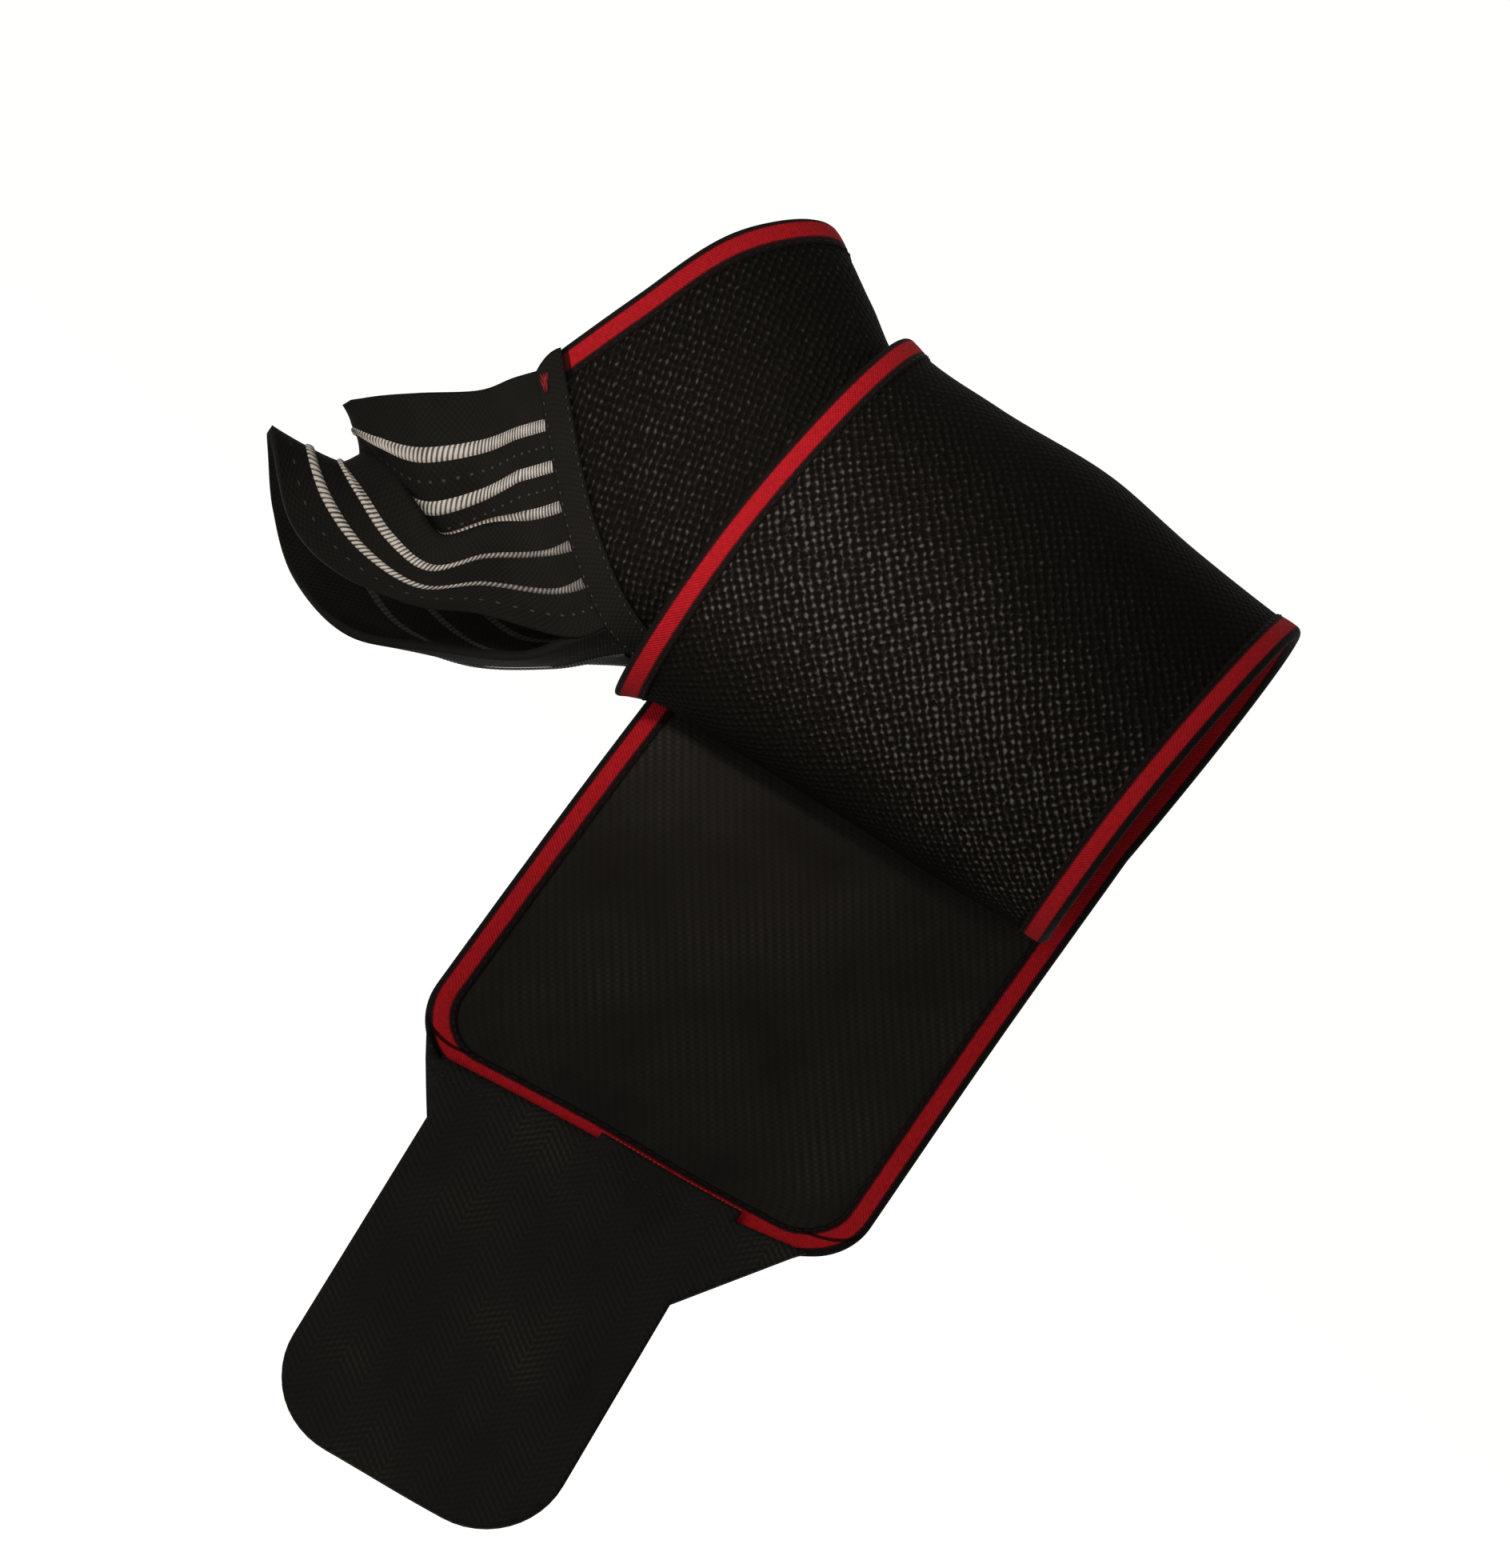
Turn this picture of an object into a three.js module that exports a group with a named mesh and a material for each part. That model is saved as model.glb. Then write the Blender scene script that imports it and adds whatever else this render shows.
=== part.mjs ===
// Wrist wrap with a thumb loop, in the form it has on the wrist with its last turn unwound.
// Millimetres. +X runs from the hand to the elbow, +Z across the wrist away from the thumb,
// and -Y is the side of the back of the hand. The origin is the middle of the wrist.
import * as THREE from 'three';

// Band
const bandWidth = 82;
const bandThickness = 1.6;
const bandEdgeThickness = 0.6;
const cornerRadius = 13;
const layerPitch = 3.4;
const tailLength = 98;
const tailLean = 18.5;
const tailFlatFrom = 0.6;
const tailSettle = 0.9;

// Binding folded round the band's edge
const bindingWidth = 5;
const bindingWall = 0.6;
const bindingFold = 0.9;
const bindingGap = 0.4;

// Thumb loop and its grip stripes
const strapWidth = 44;
const strapThickness = 1.6;
const loopReach = 35;
const stripeWidth = 2.6;
const stripeThickness = 0.5;
const stripePitch = 6.7;
const stripeCount = 5;

// Tape over the seam between the loop and the band
const seamTapeWidth = 5;
const seamTapeThickness = 0.6;
const seamTapeGap = 0.75;

// Hook tab
const tabWidth = 49.6;
const tabLength = 66;
const tabThickness = 1.4;
const tabOffset = -4.85;
const tabCornerRadius = 14;
const tabShoulderDistal = 9;
const tabShoulderProximal = 16.8;
const tabSideInset = 5.6;
const tabLeanOn = 2;

// Wrist that the wrap is closed on
const wristHalfWidth = 29;
const wristHalfDepth = 22;

const clearance = 0.3;

// Steps of the meshes
const stepsPerTurn = 40;
const tailSteps = 6;
const bandColumns = 9;
const cornerSteps = 5;
const endSteps = 6;
const loopSteps = 44;
const loopColumns = 12;
const seamSteps = 18;
const tabCurveSteps = 8;
const ellipseSteps = 48;

// Section of the hand and the wrist along the arm. along is a share of the band's width,
// halfWidth and rise are shares of the wrist's half width, halfDepth and back of its half depth.
const armForm = [
  { along: -1.035, halfWidth: 1.6, halfDepth: 0.84, rise: -0.17, back: 0.04 },
  { along: -0.756, halfWidth: 1.53, halfDepth: 0.93, rise: -0.265, back: 0.0 },
  { along: -0.61, halfWidth: 1.3, halfDepth: 0.98, rise: -0.23, back: 0.0 },
  { along: -0.488, halfWidth: 1.05, halfDepth: 1.0, rise: -0.15, back: 0.0 },
  { along: -0.268, halfWidth: 1.005, halfDepth: 1.0, rise: -0.085, back: 0.0 },
  { along: 0.0, halfWidth: 1.0, halfDepth: 1.0, rise: 0.005, back: 0.0 },
  { along: 0.234, halfWidth: 0.948, halfDepth: 1.0, rise: 0.02, back: 0.0 },
  { along: 0.507, halfWidth: 0.9, halfDepth: 1.0, rise: 0.075, back: 0.0 },
];

// Course of the band. turn counts turns from the middle of the back of the wrist, along is the
// place of the band's hand edge as a share of its width, slant is the lean of the cross threads
// in degrees, and lift is the height over the skin in layers.
const wraps = [
  { turn: -0.007, along: -1.0085, slant: 35, lift: 0.0 },
  { turn: 0.072, along: -0.95, slant: 31, lift: 0.1 },
  { turn: 0.153, along: -0.892, slant: 25, lift: 0.22 },
  { turn: 0.25, along: -0.761, slant: 17, lift: 0.4 },
  { turn: 0.5, along: -0.61, slant: 7, lift: 1.14 },
  { turn: 0.75, along: -0.519, slant: 2, lift: 1.29 },
  { turn: 1.0, along: -0.511, slant: 1, lift: 1.28 },
  { turn: 1.25, along: -0.502, slant: 1, lift: 1.55 },
  { turn: 1.6, along: -0.51, slant: 0, lift: 2.12 },
];

// Course of the free tail. share runs from where the band leaves the wrist to its end.
const tailCourse = [
  { share: 0, along: -0.51, slant: 0 },
  { share: 0.45, along: -0.474, slant: 1.6 },
  { share: 1, along: -0.418, slant: 4.6 },
];

// Sections of the thumb loop. Each gives the hand edge, the middle and the thumb edge as
// [reach, depth, rise]: reach past the seam's hand end as a share of loopReach, depth as a share
// of the wrist's half depth and rise as a share of its half width.
const loopSections = [
  { share: 0.14, hand: [0.17, -0.78, -0.62], middle: [-0.23, -0.86, -1.19], thumb: [-0.47, -0.68, -1.6] },
  { share: 0.2, hand: [0.4, -0.68, -0.84], middle: [-0.01, -0.75, -1.44], thumb: [-0.2, -0.68, -1.8] },
  { share: 0.26, hand: [0.6, -0.52, -1.03], middle: [0.26, -0.55, -1.45], thumb: [0.19, -0.61, -1.93] },
  { share: 0.31, hand: [0.71, -0.27, -1.14], middle: [0.49, -0.3, -1.39], thumb: [0.54, -0.48, -1.87] },
  { share: 0.36, hand: [0.68, 0.1, -1.06], middle: [0.62, 0.02, -1.39], thumb: [0.91, -0.2, -1.55] },
  { share: 0.41, hand: [0.6, 0.42, -0.93], middle: [0.57, 0.36, -1.36], thumb: [0.94, 0.23, -1.62] },
  { share: 0.47, hand: [0.42, 0.66, -0.82], middle: [0.43, 0.66, -1.34], thumb: [0.78, 0.52, -1.89] },
  { share: 0.55, hand: [0.15, 0.82, -0.7], middle: [0.19, 0.85, -1.38], thumb: [0.49, 0.6, -2.13] },
  { share: 0.64, hand: [-0.21, 0.93, -0.61], middle: [-0.17, 0.8, -1.56], thumb: [0.08, 0.34, -2.17] },
  { share: 0.74, hand: [-0.65, 0.93, -0.58], middle: [-0.58, 0.6, -1.58], thumb: [-0.33, 0.02, -1.92] },
];

// Pleat along the middle of the loop, its depth a share of the strap's width.
const loopPleat = [
  { share: 0.14, depth: 0.0 },
  { share: 0.2, depth: 0.02 },
  { share: 0.26, depth: 0.03 },
  { share: 0.34, depth: 0.025 },
  { share: 0.41, depth: 0.03 },
  { share: 0.47, depth: 0.02 },
  { share: 0.55, depth: 0.0 },
];
const pleatHalfWidth = 0.2;
const pleatInward = new THREE.Vector3(0.72, 0.25, 0.35).normalize();

// Distances back from the seam, as shares of the strap's width, where the loop's ends still
// follow the wrist.
const loopEnds = [
  { share: 0.0, leg: 'front', hand: 0, middle: 0, thumb: 0 },
  { share: 0.07, leg: 'front', hand: 0.14, middle: 0.17, thumb: 0.2 },
  { share: 0.84, leg: 'palm', hand: 0.98, middle: 0.74, thumb: 0.42 },
  { share: 0.92, leg: 'palm', hand: 0.49, middle: 0.36, thumb: 0.2 },
  { share: 1.0, leg: 'palm', hand: 0, middle: 0, thumb: 0 },
];

// Upper edge of the hook tab over the end binding, from the hand edge on. to is a share of the
// band's width and overlap a share of the binding's width.
const tabEdge = [
  { to: 0.1, overlap: 0.2 },
  { to: 0.45, overlap: 0.46 },
  { to: 0.77, overlap: 0.76 },
  { to: 1.0, overlap: 0.2 },
];

const colours = {
  mesh: new THREE.MeshStandardMaterial({ color: 0x15110c, roughness: 0.85, metalness: 0 }),
  tape: new THREE.MeshStandardMaterial({ color: 0xb3141a, roughness: 0.7, metalness: 0 }),
  knit: new THREE.MeshStandardMaterial({ color: 0x14120f, roughness: 0.8, metalness: 0 }),
  stripe: new THREE.MeshStandardMaterial({ color: 0xb5aca2, roughness: 0.55, metalness: 0 }),
  hook: new THREE.MeshStandardMaterial({ color: 0x181512, roughness: 0.75, metalness: 0 }),
};

const degrees = Math.PI / 180;
const bandHalf = bandThickness / 2;
const bandEdgeHalf = bandEdgeThickness / 2;
const bindingInner = bandEdgeHalf + bindingGap;
const bindingHalf = bindingInner + bindingWall;
const bandInset = bindingFold + clearance;

// Reads a column of a table at any key, on a smooth curve through its rows.
function readTable(rows, key, column, at) {
  const last = rows.length - 1;
  if (at <= rows[0][key]) return rows[0][column];
  if (at >= rows[last][key]) return rows[last][column];
  let row = 0;
  while (rows[row + 1][key] < at) row += 1;
  const slope = (index) => {
    const low = Math.max(index - 1, 0);
    const high = Math.min(index + 1, last);
    return (rows[high][column] - rows[low][column]) / (rows[high][key] - rows[low][key]);
  };
  const span = rows[row + 1][key] - rows[row][key];
  const t = (at - rows[row][key]) / span;
  const rise = rows[row + 1][column] - rows[row][column];
  const startSlope = slope(row) * span;
  const endSlope = slope(row + 1) * span;
  const bend = 3 * rise - 2 * startSlope - endSlope;
  const twist = startSlope + endSlope - 2 * rise;
  return rows[row][column] + startSlope * t + bend * t * t + twist * t * t * t;
}

function smooth(from, to, at) {
  const t = THREE.MathUtils.clamp((at - from) / (to - from), 0, 1);
  return t * t * (3 - 2 * t);
}

// The ellipse of the arm at one place along it.
function armSection(x) {
  const along = x / bandWidth;
  return {
    halfWidth: readTable(armForm, 'along', 'halfWidth', along) * wristHalfWidth,
    halfDepth: readTable(armForm, 'along', 'halfDepth', along) * wristHalfDepth,
    rise: readTable(armForm, 'along', 'rise', along) * wristHalfWidth,
    back: readTable(armForm, 'along', 'back', along) * wristHalfDepth,
  };
}

// Lengths of a quarter of the ellipse, added up from the side of the back of the hand.
function quarterLengths(section) {
  const lengths = [0];
  for (let i = 0; i < ellipseSteps; i += 1) {
    const angle = ((i + 0.5) / ellipseSteps) * (Math.PI / 2);
    const speed = Math.hypot(section.halfDepth * Math.sin(angle), section.halfWidth * Math.cos(angle));
    lengths.push(lengths[i] + (speed * (Math.PI / 2)) / ellipseSteps);
  }
  return lengths;
}

function perimeter(section) {
  const lengths = quarterLengths(section);
  return 4 * lengths[lengths.length - 1];
}

// Angle round the ellipse at a share of its whole length, and the share at an angle.
function angleAtTurn(section, turn) {
  const lengths = quarterLengths(section);
  const last = lengths.length - 1;
  const quarters = turn * 4;
  const whole = Math.floor(quarters);
  const part = quarters - whole;
  const mirrored = ((whole % 2) + 2) % 2 === 1;
  const wanted = (mirrored ? 1 - part : part) * lengths[last];
  let i = 0;
  while (i < last - 1 && lengths[i + 1] < wanted) i += 1;
  const within = (i + (wanted - lengths[i]) / (lengths[i + 1] - lengths[i])) / last;
  return (whole + (mirrored ? 1 - within : within)) * (Math.PI / 2);
}

function turnAtQuarterAngle(section, angle) {
  const lengths = quarterLengths(section);
  const last = lengths.length - 1;
  const place = (angle / (Math.PI / 2)) * last;
  const i = Math.min(Math.floor(place), last - 1);
  const length = lengths[i] + (lengths[i + 1] - lengths[i]) * (place - i);
  return (0.25 * length) / lengths[last];
}

// Point on the arm at a turn, lifted off the skin.
function armPoint(x, turn, height) {
  const section = armSection(x);
  const angle = angleAtTurn(section, turn);
  const normal = new THREE.Vector2(
    -section.halfWidth * Math.cos(angle),
    section.halfDepth * Math.sin(angle),
  ).normalize();
  return new THREE.Vector3(
    x,
    section.back - section.halfDepth * Math.cos(angle) + height * normal.x,
    section.rise + section.halfWidth * Math.sin(angle) + height * normal.y,
  );
}

// The tail leaves the wrist along the line that touches the arm at the tail's lean.
const lean = tailLean * degrees;
const tailDown = new THREE.Vector2(-Math.sin(lean), -Math.cos(lean));
const tailOut = new THREE.Vector2(Math.cos(lean), -Math.sin(lean));

function releaseAngle(section) {
  return Math.atan((section.halfWidth / section.halfDepth) * Math.tan(lean));
}

function releaseTurn(section) {
  return 1.5 + turnAtQuarterAngle(section, releaseAngle(section));
}

const startTurn = wraps[0].turn;
const releaseLift = readTable(wraps, 'turn', 'lift', releaseTurn(armSection(0)));

// Distance of the tail's middle from the X axis, and how far down it the tail starts, at x.
function tailStart(x) {
  const section = armSection(x);
  const angle = releaseAngle(section);
  const y = section.back + section.halfDepth * Math.cos(angle);
  const z = section.rise - section.halfWidth * Math.sin(angle);
  return {
    out: y * tailOut.x + z * tailOut.y + bindingHalf + releaseLift * layerPitch,
    down: y * tailDown.x + z * tailDown.y,
  };
}

// Point on the free tail. It settles from the arm's curve into one plane.
const tailEdges = [-bandWidth / 2, bandWidth / 2];
const tailPlane = tailEdges.map((x) => tailStart(x).out);

function tailPoint(x, hang, out) {
  const start = tailStart(x);
  const share = (x - tailEdges[0]) / (tailEdges[1] - tailEdges[0]);
  const plane = tailPlane[0] + (tailPlane[1] - tailPlane[0]) * share;
  const away = THREE.MathUtils.lerp(start.out, plane, smooth(0, tailLength * tailFlatFrom, hang)) + out;
  const down = start.down + hang;
  return new THREE.Vector3(
    x,
    away * tailOut.x + down * tailDown.x,
    away * tailOut.y + down * tailDown.y,
  );
}

// Point of the band. station is 0 at the seam, 1 where the band leaves the wrist and 2 at its end,
// across runs from the hand edge, and out is the distance from the middle of the cloth. Past its
// end the tail's plane runs on under the tab, which leans on tabLeanOn times as much as the end.
function bandPoint(station, across, out) {
  if (station > 1) {
    const share = station - 1;
    const slant = readTable(tailCourse, 'share', 'slant', share) * degrees;
    const x = readTable(tailCourse, 'share', 'along', share) * bandWidth + across * Math.cos(slant);
    const past = Math.max(share - 1, 0) * tailLength;
    const drift = past * Math.sin(tabLeanOn * slant);
    return tailPoint(x + drift, share * tailLength - across * Math.sin(slant), out);
  }
  const nominal = startTurn + station * (releaseTurn(armSection(0)) - startTurn);
  const settled = 1 - smooth(tailSettle, 1, station);
  const slant = readTable(wraps, 'turn', 'slant', nominal) * degrees * settled;
  const x = readTable(wraps, 'turn', 'along', nominal) * bandWidth + across * Math.cos(slant);
  const section = armSection(x);
  const reached = startTurn + station * (releaseTurn(section) - startTurn);
  const lag = (across * Math.sin(slant)) / perimeter(section);
  const lift = readTable(wraps, 'turn', 'lift', nominal) * layerPitch;
  return armPoint(x, reached - lag, bindingHalf + lift + out);
}

// Point on the skin side of the seam, a distance back from the band's first edge.
function seamPoint(back, across, out) {
  const slant = wraps[0].slant * degrees;
  const x = wraps[0].along * bandWidth + across * Math.cos(slant) - back * Math.sin(slant);
  const lag = (across * Math.sin(slant) + back * Math.cos(slant)) / perimeter(armSection(x));
  return armPoint(x, startTurn - lag, bindingHalf + out);
}

// Closed solid through rings of points. Every ring has as many points, and cap holds the
// triangles that close an end.
function solidFromRings(rings, cap) {
  const count = rings[0].length;
  const points = rings.flat();
  const faces = [];
  for (let r = 0; r < rings.length - 1; r += 1) {
    for (let i = 0; i < count; i += 1) {
      const next = (i + 1) % count;
      const a = r * count + i;
      const b = r * count + next;
      faces.push([a, b, b + count], [a, b + count, a + count]);
    }
  }
  const end = (rings.length - 1) * count;
  for (const [a, b, c] of cap) {
    faces.push([c, b, a], [end + a, end + b, end + c]);
  }
  return geometryFrom(points, faces);
}

// Cap of a section whose two rows of points face each other, such as a strip or a folded tape.
function stripCap(count) {
  const cap = [];
  for (let i = 0; i < count / 2 - 1; i += 1) {
    const far = count - 1 - i;
    cap.push([i, i + 1, far - 1], [i, far - 1, far]);
  }
  return cap;
}

// Indexed geometry whose faces point outwards.
function geometryFrom(points, faces) {
  let volume = 0;
  for (const [a, b, c] of faces) {
    volume += points[a].dot(new THREE.Vector3().crossVectors(points[b], points[c])) / 6;
  }
  const turned = volume < 0 ? faces.map(([a, b, c]) => [a, c, b]) : faces;
  const geometry = new THREE.BufferGeometry();
  const flat = points.flatMap((p) => p.toArray());
  geometry.setAttribute('position', new THREE.Float32BufferAttribute(flat, 3));
  geometry.setIndex(turned.flat());
  geometry.computeVertexNormals();
  return geometry;
}

// Flat outline of the band: a strip with two round corners at its free end. side is 1 at the
// hand edge and -1 at the other, and the tail's stations are measured along its length.
const endStation = 2;

function stationAtRun(run) {
  return endStation - run / tailLength;
}

// Distance inwards of the outline at a run back from the end.
function cornerInset(run, radius) {
  if (run >= radius) return 0;
  return radius - Math.sqrt(Math.max(radius * radius - (radius - run) ** 2, 0));
}

function bandStations() {
  const turns = releaseTurn(armSection(0)) - startTurn;
  const wrapSteps = Math.round(turns * stepsPerTurn);
  const stations = [];
  for (let i = 0; i < wrapSteps; i += 1) stations.push(i / wrapSteps);
  const straight = tailLength - cornerRadius;
  for (let i = 0; i < tailSteps; i += 1) {
    stations.push(1 + ((i / tailSteps) * straight) / tailLength);
  }
  return stations;
}

// Distance of a place on the band from its outline, run being the distance back from its end.
function edgeDistance(run, across) {
  const side = Math.min(across, bandWidth - across);
  if (run >= cornerRadius || side >= cornerRadius) return Math.min(run, side);
  return cornerRadius - Math.hypot(cornerRadius - run, cornerRadius - side);
}

// Half thickness of the band, pressed thin where the binding holds it.
const pressedWidth = bindingWidth + clearance;
const pressedRamp = 1;
const cornerShares = [0.28, 0.1, 0];

function bandHalfAt(distance) {
  const share = smooth(pressedWidth, pressedWidth + pressedRamp, distance);
  return THREE.MathUtils.lerp(bandEdgeHalf, bandHalf, share);
}

function bandGeometry() {
  const columns = [0, pressedWidth - bandInset, pressedWidth - bandInset + pressedRamp];
  const innerFrom = columns[2];
  const shares = [];
  for (let i = 1; i < bandColumns; i += 1) shares.push(i / bandColumns);
  const lastRuns = [cornerRadius, pressedWidth + pressedRamp, pressedWidth];
  const cornerRuns = cornerShares.map((share) => bandInset + share * (cornerRadius - bandInset));
  const stations = [...bandStations(), ...[...lastRuns, ...cornerRuns].map(stationAtRun)];
  const rings = stations.map((station) => {
    const run = (endStation - station) * tailLength;
    const inset = bandInset + cornerInset(run - bandInset, cornerRadius - bandInset);
    const inner = bandWidth - 2 * (inset + innerFrom);
    const across = [
      ...columns.map((column) => inset + column),
      ...shares.map((share) => inset + innerFrom + inner * share),
      ...columns.map((column) => bandWidth - inset - column).reverse(),
    ];
    const fromEnd = station > 1 ? run : bandWidth;
    const halves = across.map((at) => bandHalfAt(edgeDistance(fromEnd, at)));
    return [
      ...across.map((at, i) => bandPoint(station, at, halves[i])),
      ...across.map((at, i) => bandPoint(station, at, -halves[i])).reverse(),
    ];
  });
  return solidFromRings(rings, stripCap(rings[0].length));
}

// Places along the outline from the seam's hand end, round the free end and back to the seam.
function outlinePlaces() {
  const straight = bandStations();
  const places = straight.map((station) => ({ station, across: 0, inward: [0, 1] }));
  const corner = (centreAcross, from) => {
    for (let i = 0; i <= cornerSteps; i += 1) {
      const angle = from + (i / cornerSteps) * (Math.PI / 2);
      const along = Math.sin(angle);
      const aside = -Math.cos(angle);
      places.push({
        station: stationAtRun(cornerRadius - along * cornerRadius),
        across: centreAcross + aside * cornerRadius,
        inward: [-along, -aside],
      });
    }
  };
  corner(cornerRadius, 0);
  for (let i = 1; i < endSteps; i += 1) {
    const across = cornerRadius + (i / endSteps) * (bandWidth - 2 * cornerRadius);
    places.push({ station: endStation, across, inward: [-1, 0] });
  }
  corner(bandWidth - cornerRadius, Math.PI / 2);
  for (const station of straight.reverse()) {
    places.push({ station, across: bandWidth, inward: [0, -1] });
  }
  return places;
}

function bindingGeometry() {
  const section = [
    [bindingWidth, -bindingHalf],
    [0, -bindingHalf],
    [0, bindingHalf],
    [bindingWidth, bindingHalf],
    [bindingWidth, bindingInner],
    [bindingFold, bindingInner],
    [bindingFold, -bindingInner],
    [bindingWidth, -bindingInner],
  ].map(([inward, out]) => new THREE.Vector2(inward, out));
  const rings = outlinePlaces().map((place) => section.map((p) => {
    const station = place.station + (place.inward[0] * p.x) / tailLength;
    return bandPoint(station, place.across + place.inward[1] * p.x, p.y);
  }));
  return solidFromRings(rings, stripCap(section.length));
}

// Rows of the thumb loop as points: its ends follow the wrist, the rest is the table's.
const seamHand = wraps[0].along * bandWidth;
const palmHand = bandWidth;
const palmWidth = bandWidth - strapWidth - clearance;

function loopRows() {
  const free = loopSections.map((row) => {
    const at = ([reach, depth, rise]) => new THREE.Vector3(
      seamHand - reach * loopReach,
      depth * wristHalfDepth,
      rise * wristHalfWidth,
    );
    return { share: row.share, hand: at(row.hand), middle: at(row.middle), thumb: at(row.thumb) };
  });
  const ends = loopEnds.map((row) => {
    const across = row.leg === 'front'
      ? [0, strapWidth / 2, strapWidth]
      : [palmHand, palmHand - palmWidth / 2, palmHand - palmWidth];
    const [hand, middle, thumb] = ['hand', 'middle', 'thumb'].map((name, i) => (
      seamPoint(clearance + row[name] * strapWidth, across[i], 0)
    ));
    return { share: row.share, hand, middle, thumb };
  });
  return [...ends, ...free].sort((a, b) => a.share - b.share);
}

const loopTable = loopRows().map((row) => {
  const flat = { share: row.share };
  for (const name of ['hand', 'middle', 'thumb']) {
    flat[`${name}X`] = row[name].x;
    flat[`${name}Y`] = row[name].y;
    flat[`${name}Z`] = row[name].z;
  }
  return flat;
});

// Point on the middle of the loop's cloth. across runs from 0 at the hand edge to 1 at the thumb edge.
function loopMiddle(share, across) {
  const read = (name) => new THREE.Vector3(
    readTable(loopTable, 'share', `${name}X`, share),
    readTable(loopTable, 'share', `${name}Y`, share),
    readTable(loopTable, 'share', `${name}Z`, share),
  );
  const hand = read('hand');
  const middle = read('middle');
  const thumb = read('thumb');
  const t = across;
  const point = hand.multiplyScalar(2 * (t - 0.5) * (t - 1))
    .addScaledVector(middle, -4 * t * (t - 1))
    .addScaledVector(thumb, 2 * t * (t - 0.5));
  const depth = readTable(loopPleat, 'share', 'depth', share) * strapWidth;
  const aside = Math.min(Math.abs(t - 0.5) / pleatHalfWidth, 1);
  return point.addScaledVector(pleatInward, depth * Math.cos(aside * (Math.PI / 2)) ** 2);
}

const slopeStep = 0.004;

// Point of the loop, out being the distance from the middle of its cloth, away from the skin.
function loopPoint(share, across, out) {
  const ahead = loopMiddle(Math.min(share + slopeStep, 1), across);
  const along = ahead.sub(loopMiddle(Math.max(share - slopeStep, 0), across));
  const beside = loopMiddle(share, Math.min(across + slopeStep, 1));
  const over = beside.sub(loopMiddle(share, Math.max(across - slopeStep, 0)));
  const normal = along.cross(over).normalize();
  return loopMiddle(share, across).addScaledVector(normal, out);
}

function loopGeometry() {
  const half = strapThickness / 2;
  const across = Array.from({ length: loopColumns + 1 }, (_, i) => i / loopColumns);
  const section = [
    ...across.map((at) => new THREE.Vector2(at * strapWidth, half)),
    ...across.map((at) => new THREE.Vector2(at * strapWidth, -half)).reverse(),
  ];
  const rings = Array.from({ length: loopSteps + 1 }, (_, i) => (
    section.map((p) => loopPoint(i / loopSteps, p.x / strapWidth, p.y))
  ));
  return solidFromRings(rings, stripCap(section.length));
}

// One raised grip stripe along the loop, clear of the seam tape at both ends.
function stripeGeometry(index) {
  const centre = strapWidth / 2 + (index - (stripeCount - 1) / 2) * stripePitch;
  const low = strapThickness / 2 + clearance;
  const high = low + stripeThickness;
  const section = [
    [centre - stripeWidth / 2, low],
    [centre + stripeWidth / 2, low],
    [centre + stripeWidth / 2, high],
    [centre - stripeWidth / 2, high],
  ].map(([at, out]) => new THREE.Vector2(at, out));
  const first = 1;
  const last = loopSteps - 2;
  const rings = Array.from({ length: last - first + 1 }, (_, i) => (
    section.map((p) => loopPoint((first + i) / loopSteps, p.x / strapWidth, p.y))
  ));
  return solidFromRings(rings, stripCap(section.length));
}

function seamTapeGeometry() {
  const low = bandHalf + seamTapeGap;
  const high = low + seamTapeThickness;
  const half = seamTapeWidth / 2;
  const section = [[-half, low], [half, low], [half, high], [-half, high]]
    .map(([back, out]) => new THREE.Vector2(back, out));
  const from = bindingWidth + clearance;
  const to = bandWidth - bindingWidth - clearance;
  const rings = Array.from({ length: seamSteps + 1 }, (_, i) => {
    const across = from + (to - from) * (i / seamSteps);
    return section.map((p) => seamPoint(p.x, across, p.y));
  });
  return solidFromRings(rings, stripCap(section.length));
}

// Hook tab: a plate sewn over the end of the tail on its skin side, with a stepped upper edge.
function tabGeometry() {
  const centre = bandWidth / 2 + tabOffset;
  const left = centre - tabWidth / 2;
  const right = centre + tabWidth / 2;
  const straight = -(tabLength - tabCornerRadius);
  const shape = new THREE.Shape();
  shape.moveTo(tabSideInset, tabEdge[0].overlap * bindingWidth);
  shape.lineTo(left, -tabShoulderDistal);
  shape.absarc(left + tabCornerRadius, straight, tabCornerRadius, Math.PI, 1.5 * Math.PI, false);
  shape.absarc(right - tabCornerRadius, straight, tabCornerRadius, 1.5 * Math.PI, 2 * Math.PI, false);
  shape.lineTo(right, -tabShoulderProximal);
  for (let i = tabEdge.length - 1; i >= 0; i -= 1) {
    const to = Math.min(tabEdge[i].to * bandWidth, bandWidth - tabSideInset);
    shape.lineTo(to, tabEdge[i].overlap * bindingWidth);
    if (i > 0) shape.lineTo(tabEdge[i - 1].to * bandWidth, tabEdge[i].overlap * bindingWidth);
  }
  const { shape: outline } = shape.extractPoints(tabCurveSteps);
  if (outline[0].distanceTo(outline[outline.length - 1]) < 1e-6) outline.pop();
  const low = -(bindingHalf + clearance + tabThickness);
  const high = low + tabThickness;
  const rings = [low, high].map((out) => outline.map((p) => bandPoint(stationAtRun(p.y), p.x, out)));
  return solidFromRings(rings, THREE.ShapeUtils.triangulateShape(outline, []));
}

function addPiece(group, name, geometry, material) {
  const mesh = new THREE.Mesh(geometry, material);
  mesh.name = name;
  group.add(mesh);
}

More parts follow.
